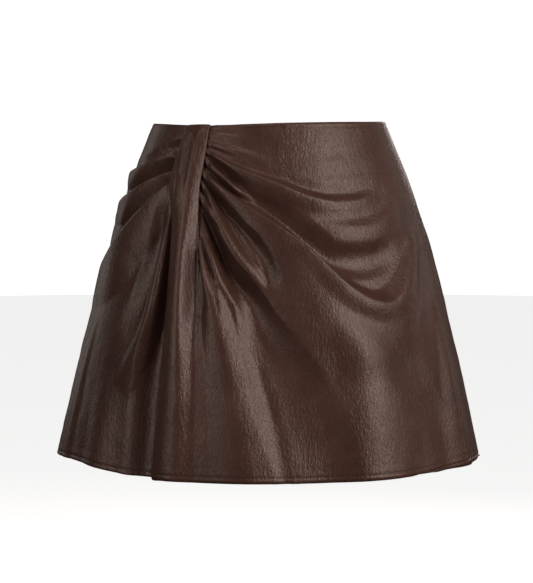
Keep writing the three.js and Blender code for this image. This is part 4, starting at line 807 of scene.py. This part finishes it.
def fan_places():
    waist = waist_places(float(tuck_turn(waist_drop(COLUMN["right"][0]))), SIDE)
    lines, shares = [places_along(waist)], [graded(FITTED["fan_waist"], WAIST_RAYS, from_edge=True)]
    for count, crowding, start, *through in FAN_GUIDES:
        turn, drop = through[-1]
        end = (turn, float(hem_drop(turn)) if drop is None else drop)
        rows = table("turn drop", (float(tuck_turn(start)), start), *through[:-1], end)
        lines.append(places_along(rows))
        shares.append(1 - (1 - np.linspace(0, 1, count * RAYS_PER_LINE + 1)) ** crowding)
    drops = np.linspace(SLASH_END, float(hem_drop(tuck_turn(HEM["drop"]))), SLASH_POINTS)
    lines.append(places_along({"turn": tuck_turn(drops), "drop": drops}))
    places = spread(lines, shares)
    turn, drop = places[..., 0], places[..., 1]
    turn[:, 0] = tuck_turn(drop[:, 0])
    on_hem = turn[:, -1] < SIDE - ON_SEAM
    drop[on_hem, -1] = hem_drop(turn[on_hem, -1])
    return turn, drop


def column_places(lower_drops):
    top = float(waist_drop(COLUMN["right"][0]))
    upper = top + (SLASH_END - top) * graded(SLASH_END - top, COLUMN_UPPER, from_edge=True)
    rows = np.concatenate([upper[:-1], lower_drops])[:, None]
    even = np.linspace(0, 1, COLUMN_ACROSS + 1)
    across = mix(even, (1 - np.cos(even * math.pi)) / 2, COLUMN_CROWDING)
    column = read(COLUMN, "drop", rows)
    turn = mix(column["left"], column["right"], across)
    to_waist = (waist_drop(turn) - top) * (1 - smoothstep(rows, top, top + COLUMN_BLEND))
    to_hem = (hem_drop(turn) - rows[-1]) * smoothstep(rows, rows[-1] - COLUMN_BLEND, rows[-1])
    return turn, rows + to_waist + to_hem, len(upper) - 1


def edge_thickness(turn, drop):
    """What the column's folded-back lip and free edge add to its thickness."""
    column, arc = read(COLUMN, "drop", drop), arc_of(turn, drop)
    from_left = np.abs(arc - arc_of(column["left"], drop))
    from_right = np.abs(arc - arc_of(column["right"], drop))
    lip = LIP_EDGE["thick"] * bump(from_right, 0, LIP_EDGE["span"])
    lip = lip * (1 - smoothstep(drop, SLASH_END - LIP_EDGE["fade"], SLASH_END))
    free = mix(*FREE_EDGE["thick"], smoothstep(drop, *FREE_EDGE["grows"]))
    free = free * bump(from_left, 0, FREE_EDGE["span"])
    started = smoothstep(drop, *FREE_EDGE["starts"])
    pared = -PARED["thin"] * bump(from_left, 0, PARED["span"]) * (1 - started)
    return lip + free * started + pared


def make_front_drape(leather, backing):
    fan_turn, fan_drop = fan_places()
    column_turn, column_drop, upper = column_places(fan_drop[-1])
    fan = np.arange(fan_turn.size).reshape(fan_turn.shape)
    column = fan.size + np.arange(column_turn.size).reshape(column_turn.shape)
    column[upper:, -1] = fan[-1]
    turn = np.concatenate([fan_turn.ravel(), column_turn.ravel()])
    drop = np.concatenate([fan_drop.ravel(), column_drop.ravel()])
    is_column = np.arange(len(turn)) >= fan.size
    lift = np.where(is_column, column_lift(turn, drop), drape_lift_under_lip(turn, drop))
    quads = np.concatenate([grid_quads(fan), grid_quads(column)])
    lift = relaxed(lift, quads, len(turn), PASSES["drape"])
    creases = (folds_lift(folds, turn, drop) for folds in (COLUMN_CREASES, SURFACE_CREASES))
    lift += np.where(is_column, *creases)
    lift += fine_relief(turn, drop, SEEDS["drape"])
    points = cloth_point(turn, drop, lift)
    on_seam = turn >= SIDE - ON_SEAM
    points[on_seam, 1] -= SEAM_GAP / 2
    room = column_lift(turn, drop) - pleat_lift(turn, drop) - UNDER_COLUMN["clear"]
    room = np.maximum(np.where(is_column, room, HEM_THICK), UNDER_COLUMN["thinnest"])
    thick = hem_thickness(turn, drop) + np.where(is_column, edge_thickness(turn, drop), 0)
    thick = np.clip(thick, UNDER_COLUMN["thinnest"], room)
    piece, normals = cloth_piece(
        "front_drape_cloth", points, quads, thick, turn, drop, on_seam, leather, backing
    )
    ends_on_hem = np.flatnonzero(fan_turn[:, -1] < SIDE - ON_SEAM)
    ring = fan.shape[1] - 1 - STITCHED
    row = column.shape[0] - 1 - STITCHED
    stitch_line = np.concatenate([column[row, 2:-1], fan[ends_on_hem[::-1], ring]])
    return piece, points[stitch_line], normals[stitch_line]


# ------------------------------------------------------------------ the front's pleated half

PLEAT_GUIDES = tuple(
    table("turn drop", (-SIDE, drop), *crest_places(PLEAT_FOLDS, name, 2))
    for name, drop in (("top_pleat", 60), ("second_pleat", 92), ("third_pleat", 163))
)
PLEAT_ROWS = (26, 34, 34, 92)
PLEAT_COLUMNS = (62, 22, 16, 20)
BESIDE_RIDGE = (-7, 4)  # degrees from the falling ridge to the finer columns on its two sides
PLEATED_SHORTER = 1.6  # the pleated half's hem is this far above the drape's


def steps_between(knots, shares):
    """Values from each knot to the next, at the shares given for each gap."""
    rows = [knots[0]]
    for value, following, between in zip(knots, knots[1:], shares):
        rows += [mix(value, following, t) for t in between[1:]]
    return np.array(rows)


def make_front_pleated(leather, backing):
    waist = waist_places(-SIDE, float(tuck_turn(0)))
    hem = waist_places(-SIDE, float(tuck_turn(HEM["drop"])))
    hem["drop"] = hem_drop(hem["turn"]) - PLEATED_SHORTER
    guides = (waist, *PLEAT_GUIDES, hem)
    row_shares = [
        graded(FITTED["pleat_waist"], PLEAT_ROWS[0], from_edge=True),
        *(np.linspace(0, 1, count + 1) for count in PLEAT_ROWS[1:3]),
        graded(FITTED["pleat_hem"], PLEAT_ROWS[3], to_edge=True),
    ]

    def drops_at(turn):
        return steps_between([read(guide, "turn", turn)["drop"] for guide in guides], row_shares)

    ridge = PLEAT_FOLDS["falling_ridge"]["rows"]
    ridge_drops = drops_at(float(ridge["turn"][1]))
    on_ridge = read(ridge, "drop", ridge_drops)["turn"]
    before, after = (on_ridge + off for off in BESIDE_RIDGE)
    knots = [np.full_like(on_ridge, -SIDE), before, on_ridge, after, tuck_turn(ridge_drops)]
    from_side = graded(FITTED["pleat_side"], PLEAT_COLUMNS[0], from_edge=True)
    finer = (np.linspace(0, 1, count + 1) for count in PLEAT_COLUMNS[1:])
    turn = steps_between(knots, [from_side, *finer]).T
    drop = np.array([drops_at(turn[row])[row] for row in range(len(turn))])
    turn, drop, index, quads = flattened(turn, drop)
    lift = relaxed(pleat_lift(turn, drop), quads, len(turn), PASSES["pleated"])
    lift = lift + fine_relief(turn, drop, SEEDS["pleated"])
    points = cloth_point(turn, drop, lift)
    on_seam = turn <= -SIDE + ON_SEAM
    points[on_seam, 1] -= SEAM_GAP / 2
    thick = hem_thickness(turn, drop)
    piece, normals = cloth_piece(
        "front_pleated_cloth", points, quads, thick, turn, drop, on_seam, leather, backing
    )
    line = index[-1 - STITCHED, 2:-2]
    return piece, points[line], normals[line]


# ------------------------------------------------------------------ the back

LIPS = {"drop": 16.5, "reach": 10, "part": 1.8}
BACK_WIDE = 215
BACK_ACROSS = 84
BACK_DOWN = 130


def lip_part(drop):
    closed = smoothstep(np.abs(drop - LIPS["drop"]), LIPS["reach"] / 2, LIPS["reach"])
    return mix(LIPS["part"], SEAM_GAP, closed) / 2


def make_back(side, name, leather, backing, seed):
    across = SIDE + SIDE * graded(BACK_WIDE, BACK_ACROSS, from_edge=True, to_edge=True)
    turn = (side * across if side > 0 else -across[::-1])[None, :]
    down = graded(HEM["drop"], BACK_DOWN, from_edge=True, to_edge=True)[:, None]
    drop = mix(waist_drop(turn), hem_drop(turn), down)
    turn, drop, index, quads = flattened(np.broadcast_to(turn, drop.shape), drop)
    lift = relaxed(back_lift(turn, drop), quads, len(turn), PASSES["back"]) + fine_relief(turn, drop, seed)
    off_centre = np.radians(CENTRE_BACK - np.abs(turn)) * read(BODY_FORM, "drop", drop)["half"]
    lift += seam_relief(off_centre, drop, seed + SEEDS["centre_seam"])
    points = cloth_point(turn, drop, lift)
    on_side, on_centre = np.abs(turn) <= SIDE + ON_SEAM, np.abs(turn) >= CENTRE_BACK - ON_SEAM
    points[on_side, 1] += SEAM_GAP / 2
    points[on_centre, 0] = side * lip_part(drop[on_centre])
    thick, on_seam = hem_thickness(turn, drop), on_side | on_centre
    piece, normals = cloth_piece(name, points, quads, thick, turn, drop, on_seam, leather, backing)
    line = index[-1 - STITCHED, 2:-2]
    return piece, points[line], normals[line]


# ------------------------------------------------------------------ the inner shorts

SHORTS_FORM = table(
    "drop half front back out crotch", (8, 126, 89.5, 90.5, 0, 0), (34, 135, 95, 99.5, 0, 0),
    (75, 149, 103, 112, 0.05, 0), (125, 164, 111, 123, 0.16, 0.02), (175, 172, 116, 129, 0.42, 0.1),
    (215, 175, 117, 128, 0.68, 0.27), (240, 176, 116, 125, 0.88, 0.52), (256, 177, 115, 122, 1, 1),
)
SHORTS_LEG = {"crotch": 256, "hem": 322, "gap": 12, "half": 179, "front": 105, "back": 112}
SHORTS_ROWS = {"top": 8, "curved": 215, "upper": 52, "lower": 22, "leg": 22}
SHORTS_AROUND = 72
SHORTS_TIGHT = 0.98  # how deep the legs' form is at the crotch, beside the body's
SHORTS_SEWN = {"below": 2.5, "under": 3.2, "shares": (0, 0.25, 0.5, 0.75)}  # how they meet the waist
SAG = {
    "high": 0.5, "girth": 120, "wide": 26, "tall": 44,
    "from": (20, 60), "stops": (225, 250), "again": (262, 280),
}
KNIT = 1.1
LEG_HEM = {"deep": 13, "thick": 1.9, "stitched": (9, 10)}  # stitched: rows of points above the hem


def leg_place(gap, half, before, behind, angle):
    depth = np.where(angle < math.pi / 2, before, behind)
    out = (half + gap) / 2 - (half - gap) / 2 * np.cos(2 * angle)
    return np.stack([out, -depth * np.sin(2 * angle)], -1)


def shorts_places(side):
    """One half's points, in rows down from the waist seam, each round from the centre front."""
    leg, crotch, rows = SHORTS_LEG, SHORTS_LEG["crotch"], SHORTS_ROWS
    upper, lower = (rows["top"], rows["curved"], rows["upper"]), (rows["curved"], crotch, rows["lower"])
    body_drops = np.concatenate([np.linspace(*upper)[:-1], np.linspace(*lower)])
    leg_long = leg["hem"] - crotch
    leg_drops = crotch + leg_long * graded(leg_long, rows["leg"], to_edge=True)[1:]
    angle = np.linspace(0, math.pi, SHORTS_AROUND + 1)[None, :]
    form = read(SHORTS_FORM, "drop", body_drops[:, None])
    depth = np.where(np.cos(angle) > 0, form["front"], form["back"])
    on_body = np.stack([form["half"] * np.sin(angle), -depth * np.cos(angle)], -1)
    depths = (form[face] * SHORTS_TIGHT for face in ("front", "back"))
    on_leg = leg_place(SEAM_GAP, form["half"], *depths, angle)
    body = mix(on_body, on_leg, mix(form["out"], form["crotch"], np.cos(angle) ** 8)[..., None])
    body[:, (0, -1), 0] = SEAM_GAP / 2
    t = ((leg_drops - crotch) / leg_long)[:, None]
    last = read(SHORTS_FORM, "drop", crotch)
    sizes = (mix(last[size], leg[size], t) for size in ("half", "front", "back"))
    flat = np.concatenate([body, leg_place(mix(SEAM_GAP, leg["gap"], t), *sizes, angle)])
    drops = np.concatenate([body_drops, leg_drops])[:, None] + 0 * angle
    rings = np.concatenate([flat * (side, 1), -drops[..., None]], -1)
    turn = side * np.degrees(angle[0])
    drop = waist_drop(turn) + SHORTS_SEWN["below"]
    lift = np.where(turn < tuck_turn(drop), pleat_lift(turn, drop), drape_lift_under_lip(turn, drop))
    lift = np.where(np.abs(turn) > SIDE, back_lift(turn, drop), lift)
    top = cloth_point(turn, drop, lift - SHORTS_SEWN["under"])
    top[(0, -1), 0] = side * SEAM_GAP / 2
    sewn = [mix(top, rings[0], share) for share in SHORTS_SEWN["shares"]]
    return np.concatenate([sewn, rings]), len(sewn) + len(body_drops) - 1


def shorts_relief(around, drop, side):
    """The jersey's soft sag, away from its seams, and the lines of the legs' turned-up hems."""
    along = np.radians(180 * around / SHORTS_AROUND) * SAG["girth"]
    sag = SAG["high"] * soft_noise(along, drop, SAG["wide"], SAG["tall"], SEEDS["shorts"] + side)
    at_crotch = smoothstep(drop, *SAG["stops"]) * (1 - smoothstep(drop, *SAG["again"]))
    relief = sag * smoothstep(drop, *SAG["from"]) * (1 - at_crotch)
    return relief + sewn_lines(LEG_HEM_LINES, SHORTS_LEG["hem"] - drop)


def make_shorts(side, name, jersey, inside):
    """One half of the shorts, with the two lines of points that its leg's hem is stitched along."""
    points, crotch_row = shorts_places(side)
    index = np.arange(points.shape[0] * points.shape[1]).reshape(points.shape[:2])
    index[crotch_row:, -1] = index[crotch_row:, 0]
    quads = grid_quads(index if side > 0 else index[:, ::-1])
    points = points.reshape(-1, 3)
    normals = point_normals(points, quads)
    row, around = np.divmod(np.arange(len(points)), SHORTS_AROUND + 1)
    drop = -points[:, 2]
    in_front, behind = ((row < crotch_row) & (around == end) for end in (0, SHORTS_AROUND))
    on_centre = in_front | behind
    points = points + normals * np.where(on_centre, 0, shorts_relief(around, drop, side))[:, None]
    through = np.full_like(points, np.nan)
    through[in_front], through[behind] = (0, -1, 0), (0, 1, 0)
    thick = np.where(SHORTS_LEG["hem"] - drop < LEG_HEM["deep"], LEG_HEM["thick"], KNIT)
    everything, faces, normals, outside = wall(points, quads, thick, through, np.where(on_centre, 0.0, 1.0))
    look_of = np.zeros(len(faces), int)
    look_of[outside:2 * outside] = 1
    used = np.unique(faces)
    number = np.full(len(everything), -1)
    number[used] = np.arange(len(used))
    piece = new_mesh(name, everything[used], number[faces], (jersey, inside), look_of)
    hem_rows = [index.shape[0] - 1 - k for k in LEG_HEM["stitched"]]
    return piece, [(points[index[row, :]], normals[index[row, :]]) for row in hem_rows]


# ------------------------------------------------------------------ thread, coil and tapes


BAR = table(  # places along a bar, how thick it is there, and its share of the dip
    "step girth sunk",
    (0, 0.05, 1), (0.06, 0.55, 0.6), (0.2, 0.92, 0.15), (0.5, 1, 0),
    (0.8, 0.92, 0.15), (0.94, 0.55, 0.6), (1, 0.05, 1),
)
BAR_SIDES = 6
BAR_CAPS = ((0, ((0, 5, 4, 3), (0, 3, 2, 1))), (-1, ((0, 1, 2, 3), (0, 3, 4, 5))))  # quads closing each end
STITCH = {"pitch": 3.5, "long": 2.8, "wide": 0.5, "high": 0.45, "lift": 0.12}
LEG_STITCH = {"pitch": 2.6, "long": 2, "wide": 0.36, "high": 0.34, "lift": 0.08}
STITCH_DIP = 0.35


def capsules(starts, ends, outs, wide, high, dip):
    """Small rounded bars, one from each start to its end: `high` stands out and `dip` sinks its ends."""
    along = unit(ends - starts)
    across = unit(np.cross(along, outs))
    out = np.cross(across, along)
    circle = np.linspace(0, 2 * math.pi, BAR_SIDES, endpoint=False)
    ring = across[:, None, :] * (np.cos(circle) * wide / 2)[None, :, None]
    ring = ring + out[:, None, :] * (np.sin(circle) * high / 2)[None, :, None]
    spine = starts[:, None, :] + (ends - starts)[:, None, :] * BAR["step"][None, :, None]
    spine = spine - out[:, None, :] * (BAR["sunk"] * dip)[None, :, None]
    points = spine[:, :, None, :] + ring[:, None, :, :] * BAR["girth"][None, :, None, None]
    index = np.arange(points.size // 3).reshape(points.shape[:3])
    right = np.roll(index, -1, axis=2)
    sides = np.stack([index[:, :-1], right[:, :-1], right[:, 1:], index[:, 1:]], -1).reshape(-1, 4)
    caps = [index[:, level, corners] for level, quads in BAR_CAPS for corners in quads]
    return points.reshape(-1, 3), np.concatenate([sides, *caps])


def stitches_along(line, normals, pitch, long):
    """Where each stitch of a seam starts and ends on a line of points, and which way is out."""
    length = np.concatenate([[0], np.cumsum(np.linalg.norm(np.diff(line, axis=0), axis=1))])
    start = np.arange(pitch / 2, length[-1] - long, pitch)

    def at(reach, values):
        return np.stack([np.interp(reach, length, values[:, k]) for k in range(3)], -1)

    return at(start, line), at(start + long, line), unit(at(start + long / 2, normals))


def make_stitches(name, seams, look, pitch, long, wide, high, lift):
    found = [stitches_along(line, normals, pitch, long) for line, normals in seams]
    starts, ends, outs = (np.concatenate(part) for part in zip(*found))
    points, faces = capsules(starts + outs * lift, ends + outs * lift, outs, wide, high, STITCH_DIP)
    return new_mesh(name, points, faces, (look,))


ZIP = {"top": 9, "length": 170, "cloth": 1.6, "behind": 0.7, "thick": 0.8}
COIL = {"pitch": 1.4, "inset": 1.5, "slider": 3, "root": 2.1, "meshed": 0.55, "apart": 0.75, "behind": 0.3}
TOOTH = {"wide": 0.62, "high": 0.62, "dip": -0.25}


def make_coil(side, name, look):
    """One side's row of coil teeth: meshed with the other side's below the slider, and apart above."""
    bottom = ZIP["top"] + ZIP["length"]
    drop = np.arange(ZIP["top"] + COIL["inset"], bottom - COIL["inset"], COIL["pitch"])
    drop = drop + (COIL["pitch"] / 2 if side > 0 else 0)
    drop = drop[np.abs(drop - LIPS["drop"]) > COIL["slider"]]
    form, outs = read(BODY_FORM, "drop", drop), -body_normal(np.full(len(drop), float(CENTRE_BACK)), drop)
    deep = ZIP["cloth"] + ZIP["behind"] + np.full(len(drop), ZIP["thick"] + COIL["behind"])

    def on_tape(out):
        place = np.stack([out, form["back"] * np.sqrt(1 - (out / form["half"]) ** 2), -drop], -1)
        return place - body_normal(CENTRE_BACK, drop) * deep[..., None]

    root = np.full(len(drop), side * COIL["root"])
    tip = np.where(drop > LIPS["drop"], -side * COIL["meshed"], side * COIL["apart"])
    return new_mesh(name, *capsules(on_tape(root), on_tape(tip), outs, **TOOTH), (look,))


# ------------------------------------------------------------------ materials


class Nodes:
    """A material's node tree, with short calls to add nodes and link them."""

    def __init__(self, name):
        self.look = bpy.data.materials.new(name)
        self.look.use_nodes = True
        self.tree = self.look.node_tree
        self.shader = self.tree.nodes["Principled BSDF"]
        self.place = self.tree.nodes.new("ShaderNodeTexCoord").outputs["Object"]

    def give(self, socket, value):
        """Links a socket to another node's output, or sets it to a constant."""
        if isinstance(value, bpy.types.NodeSocket):
            self.tree.links.new(value, socket)
        else:
            socket.default_value = value

    def add(self, kind, output, inputs, **settings):
        node = self.tree.nodes.new(kind)
        for name, value in settings.items():
            setattr(node, name, value)
        for name, value in inputs.items():
            self.give(node.inputs[name], value)
        return node.outputs[output]

    def scaled(self, x, y, z):
        return self.add("ShaderNodeMapping", "Vector", {"Vector": self.place, "Scale": (x, y, z)})

    def noise(self, place, scale, detail=2.0, roughness=0.5):
        inputs = {"Vector": place, "Scale": scale, "Detail": detail, "Roughness": roughness}
        return self.add("ShaderNodeTexNoise", "Fac", inputs)

    def cells(self, place, scale, smoothness=0.6):
        inputs = {"Vector": place, "Scale": scale, "Smoothness": smoothness}
        return self.add("ShaderNodeTexVoronoi", "Distance", inputs, feature="SMOOTH_F1")

    def wave(self, scale, distortion, direction, detail=2.0):
        inputs = {"Vector": self.place, "Scale": scale, "Distortion": distortion, "Detail": detail}
        return self.add("ShaderNodeTexWave", "Fac", inputs, bands_direction=direction)

    def spread(self, value, low, high, to_low, to_high):
        inputs = {"Value": value, "From Min": low, "From Max": high, "To Min": to_low, "To Max": to_high}
        return self.add("ShaderNodeMapRange", "Result", inputs)

    def math(self, kind, a, b):
        node = self.tree.nodes.new("ShaderNodeMath")
        node.operation = kind
        for socket, value in zip(node.inputs, (a, b)):
            self.give(socket, value)
        return node.outputs["Value"]

    def blend(self, a, share, b, other_share):
        return self.math("ADD", self.math("MULTIPLY", a, share), self.math("MULTIPLY", b, other_share))

    def colours(self, factor, *stops):
        ramp = self.tree.nodes.new("ShaderNodeValToRGB")
        while len(ramp.color_ramp.elements) < len(stops):
            ramp.color_ramp.elements.new(0.5)
        for element, (position, colour) in zip(ramp.color_ramp.elements, stops):
            element.position, element.color = position, (*colour, 1)
        self.give(ramp.inputs["Fac"], factor)
        return ramp.outputs["Color"]

    def finished(self, sockets, *reliefs):
        """The material, with its shader's sockets given their values and its bumps on one another.

        Each relief is a height, how strong it is and how deep, in metres.
        """
        normal = {}
        for height, strength, depth in reliefs:
            inputs = {"Height": height, "Strength": strength, "Distance": depth, **normal}
            normal = {"Normal": self.add("ShaderNodeBump", "Normal", inputs)}
        for name, value in {**sockets, **normal}.items():
            self.give(self.shader.inputs[name], value)
        return self.look


LEATHER_TONES = (
    (0.34, (0.054, 0.0235, 0.0163)), (0.5, (0.071, 0.0325, 0.0235)), (0.68, (0.089, 0.043, 0.0315)),
)


def leather_look():
    """Faux leather: a fine upright grain with pinched lines in it, over a soft crumple."""
    look = Nodes("faux_leather_grain")
    upright = look.scaled(1, 1, 0.6)
    pebble = look.cells(upright, 900)
    grain = look.noise(upright, 620, 3, 0.55)
    lines = look.noise(look.scaled(1, 1, 0.42), 380, 3, 0.55)
    crumple = look.noise(look.scaled(1, 1, 0.5), 70, 2, 0.5)
    shade = look.noise(look.place, 26, 3, 0.6)
    return look.finished({
        "Base Color": look.colours(look.blend(shade, 0.6, grain, 0.4), *LEATHER_TONES),
        "Roughness": look.spread(grain, 0.3, 0.7, 0.38, 0.24),
        "Specular IOR Level": 0.46,
        "Specular Tint": (1, 0.88, 0.82, 1),
    }, (crumple, 0.5, 0.0007), (lines, 0.8, 0.0006), (grain, 0.7, 0.00034), (pebble, 0.5, 0.00022))


def knit_look(name, dark, light, scale):
    """A fine knit: upright wales crossed by courses."""
    look = Nodes(name)
    wales, courses = look.wave(scale, 0.6, "X", 1.0), look.wave(scale * 0.8, 0.4, "Z", 1.0)
    mesh = look.math("MULTIPLY", wales, courses)
    fuzz = look.noise(look.place, 420, 3, 0.6)
    return look.finished({
        "Base Color": look.colours(look.blend(mesh, 0.5, fuzz, 0.5), (0.15, dark), (0.75, light)),
        "Roughness": 0.88, "Sheen Weight": 0.25, "Sheen Roughness": 0.5,
    }, (fuzz, 0.3, 0.0003), (mesh, 0.6, 0.0003))


def tape_look():
    """Woven zip tape: a fine herringbone of upright warps."""
    look = Nodes("zip_tape_weave")
    weave = look.math("MULTIPLY", look.wave(620.0, 0.3, "X"), look.wave(480.0, 0.3, "DIAGONAL"))
    colour = look.colours(weave, (0.1, (0.016, 0.009, 0.007)), (0.8, (0.04, 0.024, 0.019)))
    return look.finished({"Base Color": colour, "Roughness": 0.8}, (weave, 0.6, 0.0002))


def metal_look():
    """Zip metal lacquered brown, worn brighter in places."""
    look = Nodes("zip_metal_lacquer")
    wear = look.noise(look.place, 900, 4, 0.65)
    stops = ((0.4, (0.036, 0.021, 0.016)), (0.62, (0.06, 0.038, 0.03)), (0.74, (0.16, 0.12, 0.1)))
    return look.finished({
        "Base Color": look.colours(wear, *stops),
        "Roughness": look.spread(wear, 0.3, 0.7, 0.26, 0.42),
        "Metallic": 0.65,
    }, (wear, 0.15, 0.0001))


def thread_look():
    """Twisted polyester thread, dyed to match the leather."""
    look = Nodes("thread_twist")
    twist = look.wave(900.0, 0.5, "DIAGONAL")
    colour = look.colours(twist, (0.2, (0.032, 0.016, 0.012)), (0.8, (0.062, 0.031, 0.024)))
    return look.finished({"Base Color": colour, "Roughness": 0.62}, (twist, 0.5, 0.0001))


def pale_look(name, pale, glow):
    """A near-white surface of the stage, with a faint mottle and a glow of its own."""
    look = Nodes(name)
    low, high = (0.3, (pale * 0.985,) * 3), (0.7, (pale,) * 3)
    return look.finished({
        "Base Color": look.colours(look.noise(look.place, 6, 2, 0.5), low, high),
        "Roughness": 0.9, "Specular IOR Level": 0.1,
        "Emission Color": (1, 1, 1, 1), "Emission Strength": glow,
    })


# ------------------------------------------------------------------ the pieces, put together

leather = leather_look()
backing = knit_look("leather_backing_knit", (0.02, 0.012, 0.0095), (0.055, 0.034, 0.027), 700.0)
jersey = knit_look("jersey_knit", (0.016, 0.0095, 0.0075), (0.04, 0.024, 0.019), 900.0)
jersey_inside = knit_look("jersey_knit_inside", (0.018, 0.0105, 0.0085), (0.044, 0.027, 0.021), 800.0)
tape, metal, thread = tape_look(), metal_look(), thread_look()

drape, *drape_hem = make_front_drape(leather, backing)
pleated, *pleated_hem = make_front_pleated(leather, backing)
back_left, *back_left_hem = make_back(1, "back_left_cloth", leather, backing, SEEDS["back_left"])
back_right, *back_right_hem = make_back(-1, "back_right_cloth", leather, backing, SEEDS["back_right"])
shorts_left, left_leg = make_shorts(1, "shorts_left_cloth", jersey, jersey_inside)
shorts_right, right_leg = make_shorts(-1, "shorts_right_cloth", jersey, jersey_inside)

hems = (drape_hem, pleated_hem, back_left_hem, back_right_hem)
hem_stitches = make_stitches("hem_stitches", hems, thread, **STITCH)
leg_stitches = make_stitches("leg_hem_stitches", (*left_leg, *right_leg), thread, **LEG_STITCH)
coil_left, coil_right = make_coil(1, "zip_coil_left", metal), make_coil(-1, "zip_coil_right", metal)

ZIP_LOOKS = {"zip_tape_left": tape, "zip_tape_right": tape, "zip_slider": metal, "zip_pull": metal}
for node, look in ZIP_LOOKS.items():
    for part_slot in bpy.data.objects[node].material_slots:
        part_slot.material = look

CLOTH = (  # piece, node, slot, flat size, the cut's area, how it is held, and the pieces sewn to it
    (drape, "front_drape", "faux_leather", (0.56, 0.46), 0.16, "draped", [hem_stitches]),
    (pleated, "front_pleated", "faux_leather", (0.33, 0.44), 0.076, "gathered", []),
    (back_left, "back_left", "faux_leather", (0.31, 0.38), 0.102, "hung", []),
    (back_right, "back_right", "faux_leather", (0.31, 0.38), 0.102, "hung", []),
    (shorts_left, "shorts_left", "lining_jersey", (0.52, 0.34), 0.16, "hung", [leg_stitches]),
    (shorts_right, "shorts_right", "lining_jersey", (0.52, 0.34), 0.16, "hung", []),
)
TRIM = (
    (hem_stitches, "faux_leather"), (leg_stitches, "lining_jersey"),
    (coil_left, "zip_metal"), (coil_right, "zip_metal"),
)
for piece, node, slot, flat, area, held, with_pieces in CLOTH:
    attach(piece, BODY)
    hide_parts(node)
for piece, slot in TRIM:
    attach(piece, BODY)

# ------------------------------------------------------------------ stage, light and camera

# In metres.
FLOOR, FLOOR_REACH = -0.95, 9
DOME = {"radius": 8.5, "around": 48, "up": 13}
LAMP_TINT = (1, 0.93, 0.88)
VIEW = {"place": (-0.0033, -2.1, 0), "down": 5.06, "lens": 117.9, "sensor": 36}


def make_floor():
    corners = [(FLOOR_REACH * x, FLOOR_REACH * y, FLOOR) for x, y in ((-1, -1), (1, -1), (1, 1), (-1, 1))]
    look = pale_look("pale_floor", 0.88, 0.84)
    return new_mesh("floor", np.array(corners) / MM, np.array([[0, 1, 2, 3]]), (look,))


def make_dome():
    """A pale backdrop all round, which the camera sees and the garment doesn't."""
    radius, around = DOME["radius"], DOME["around"]
    turns, rises = np.linspace(0, 2 * math.pi, around + 1)[:-1], np.linspace(0, math.pi / 2, DOME["up"])
    points = [
        (radius * math.cos(t) * math.cos(r), radius * math.sin(t) * math.cos(r),
         FLOOR + radius * math.sin(r))
        for r in rises for t in turns
    ]
    index = np.arange(len(points)).reshape(DOME["up"], around)
    quads = grid_quads(np.concatenate([index, index[:, :1]], 1))[:, ::-1]
    return new_mesh("backdrop", np.array(points) / MM, quads, (pale_look("pale_backdrop", 0.9, 1.0),))


floor, dome = make_floor(), make_dome()
for plain in (floor, dome):
    plain.visible_diffuse = plain.visible_glossy = plain.visible_shadow = False


def add_area(name, place, wide, tall, power, aim=(0, 0, -0.2)):
    light = bpy.data.lights.new(name, "AREA")
    light.shape, light.size, light.size_y, light.energy = "RECTANGLE", wide, tall, power
    light.color = LAMP_TINT
    lamp = bpy.data.objects.new(name, light)
    lamp.location = place
    lamp.rotation_euler = (Vector(aim) - Vector(place)).to_track_quat("-Z", "Y").to_euler()
    bpy.context.scene.collection.objects.link(lamp)


add_area("key", (1.31, -1.35, 0.45), 1, 1.9, 19)
add_area("key_heart", (1.25, -1.35, 0.42), 0.3, 1.5, 5)
add_area("right", (1.9, -0.6, 0.3), 0.6, 1.6, 4.5)
add_area("top", (-0.2, -0.6, 1.5), 1.4, 0.5, 4.8)
add_area("fill", (-1.5, -1.2, 0.5), 1.2, 1.4, 9)
add_area("low_fill", (-1, -1.7, -0.25), 0.9, 0.5, 1.2, (-0.1, 0, -0.3))
add_area("left_rim", (-1.2, 1.1, 0.2), 0.8, 1.2, 1.6)
add_area("right_rim", (1.5, 0.9, 0.2), 0.8, 1.2, 1.5)
add_area("behind", (0.5, 2.1, 0.7), 1.4, 1.4, 12)

world = bpy.context.scene.world or bpy.data.worlds.new("studio")
bpy.context.scene.world = world
world.use_nodes = True
background = world.node_tree.nodes["Background"]
background.inputs["Color"].default_value = (0.86, 0.8, 0.76, 1)
background.inputs["Strength"].default_value = 0.04

bpy.context.scene.view_settings.view_transform = "Standard"

camera = bpy.data.objects.new("camera", bpy.data.cameras.new("camera"))
camera.location = VIEW["place"]
camera.rotation_euler = (math.radians(90 - VIEW["down"]), 0, 0)
camera.data.lens, camera.data.sensor_width = VIEW["lens"], VIEW["sensor"]
bpy.context.scene.collection.objects.link(camera)
bpy.context.scene.camera = camera
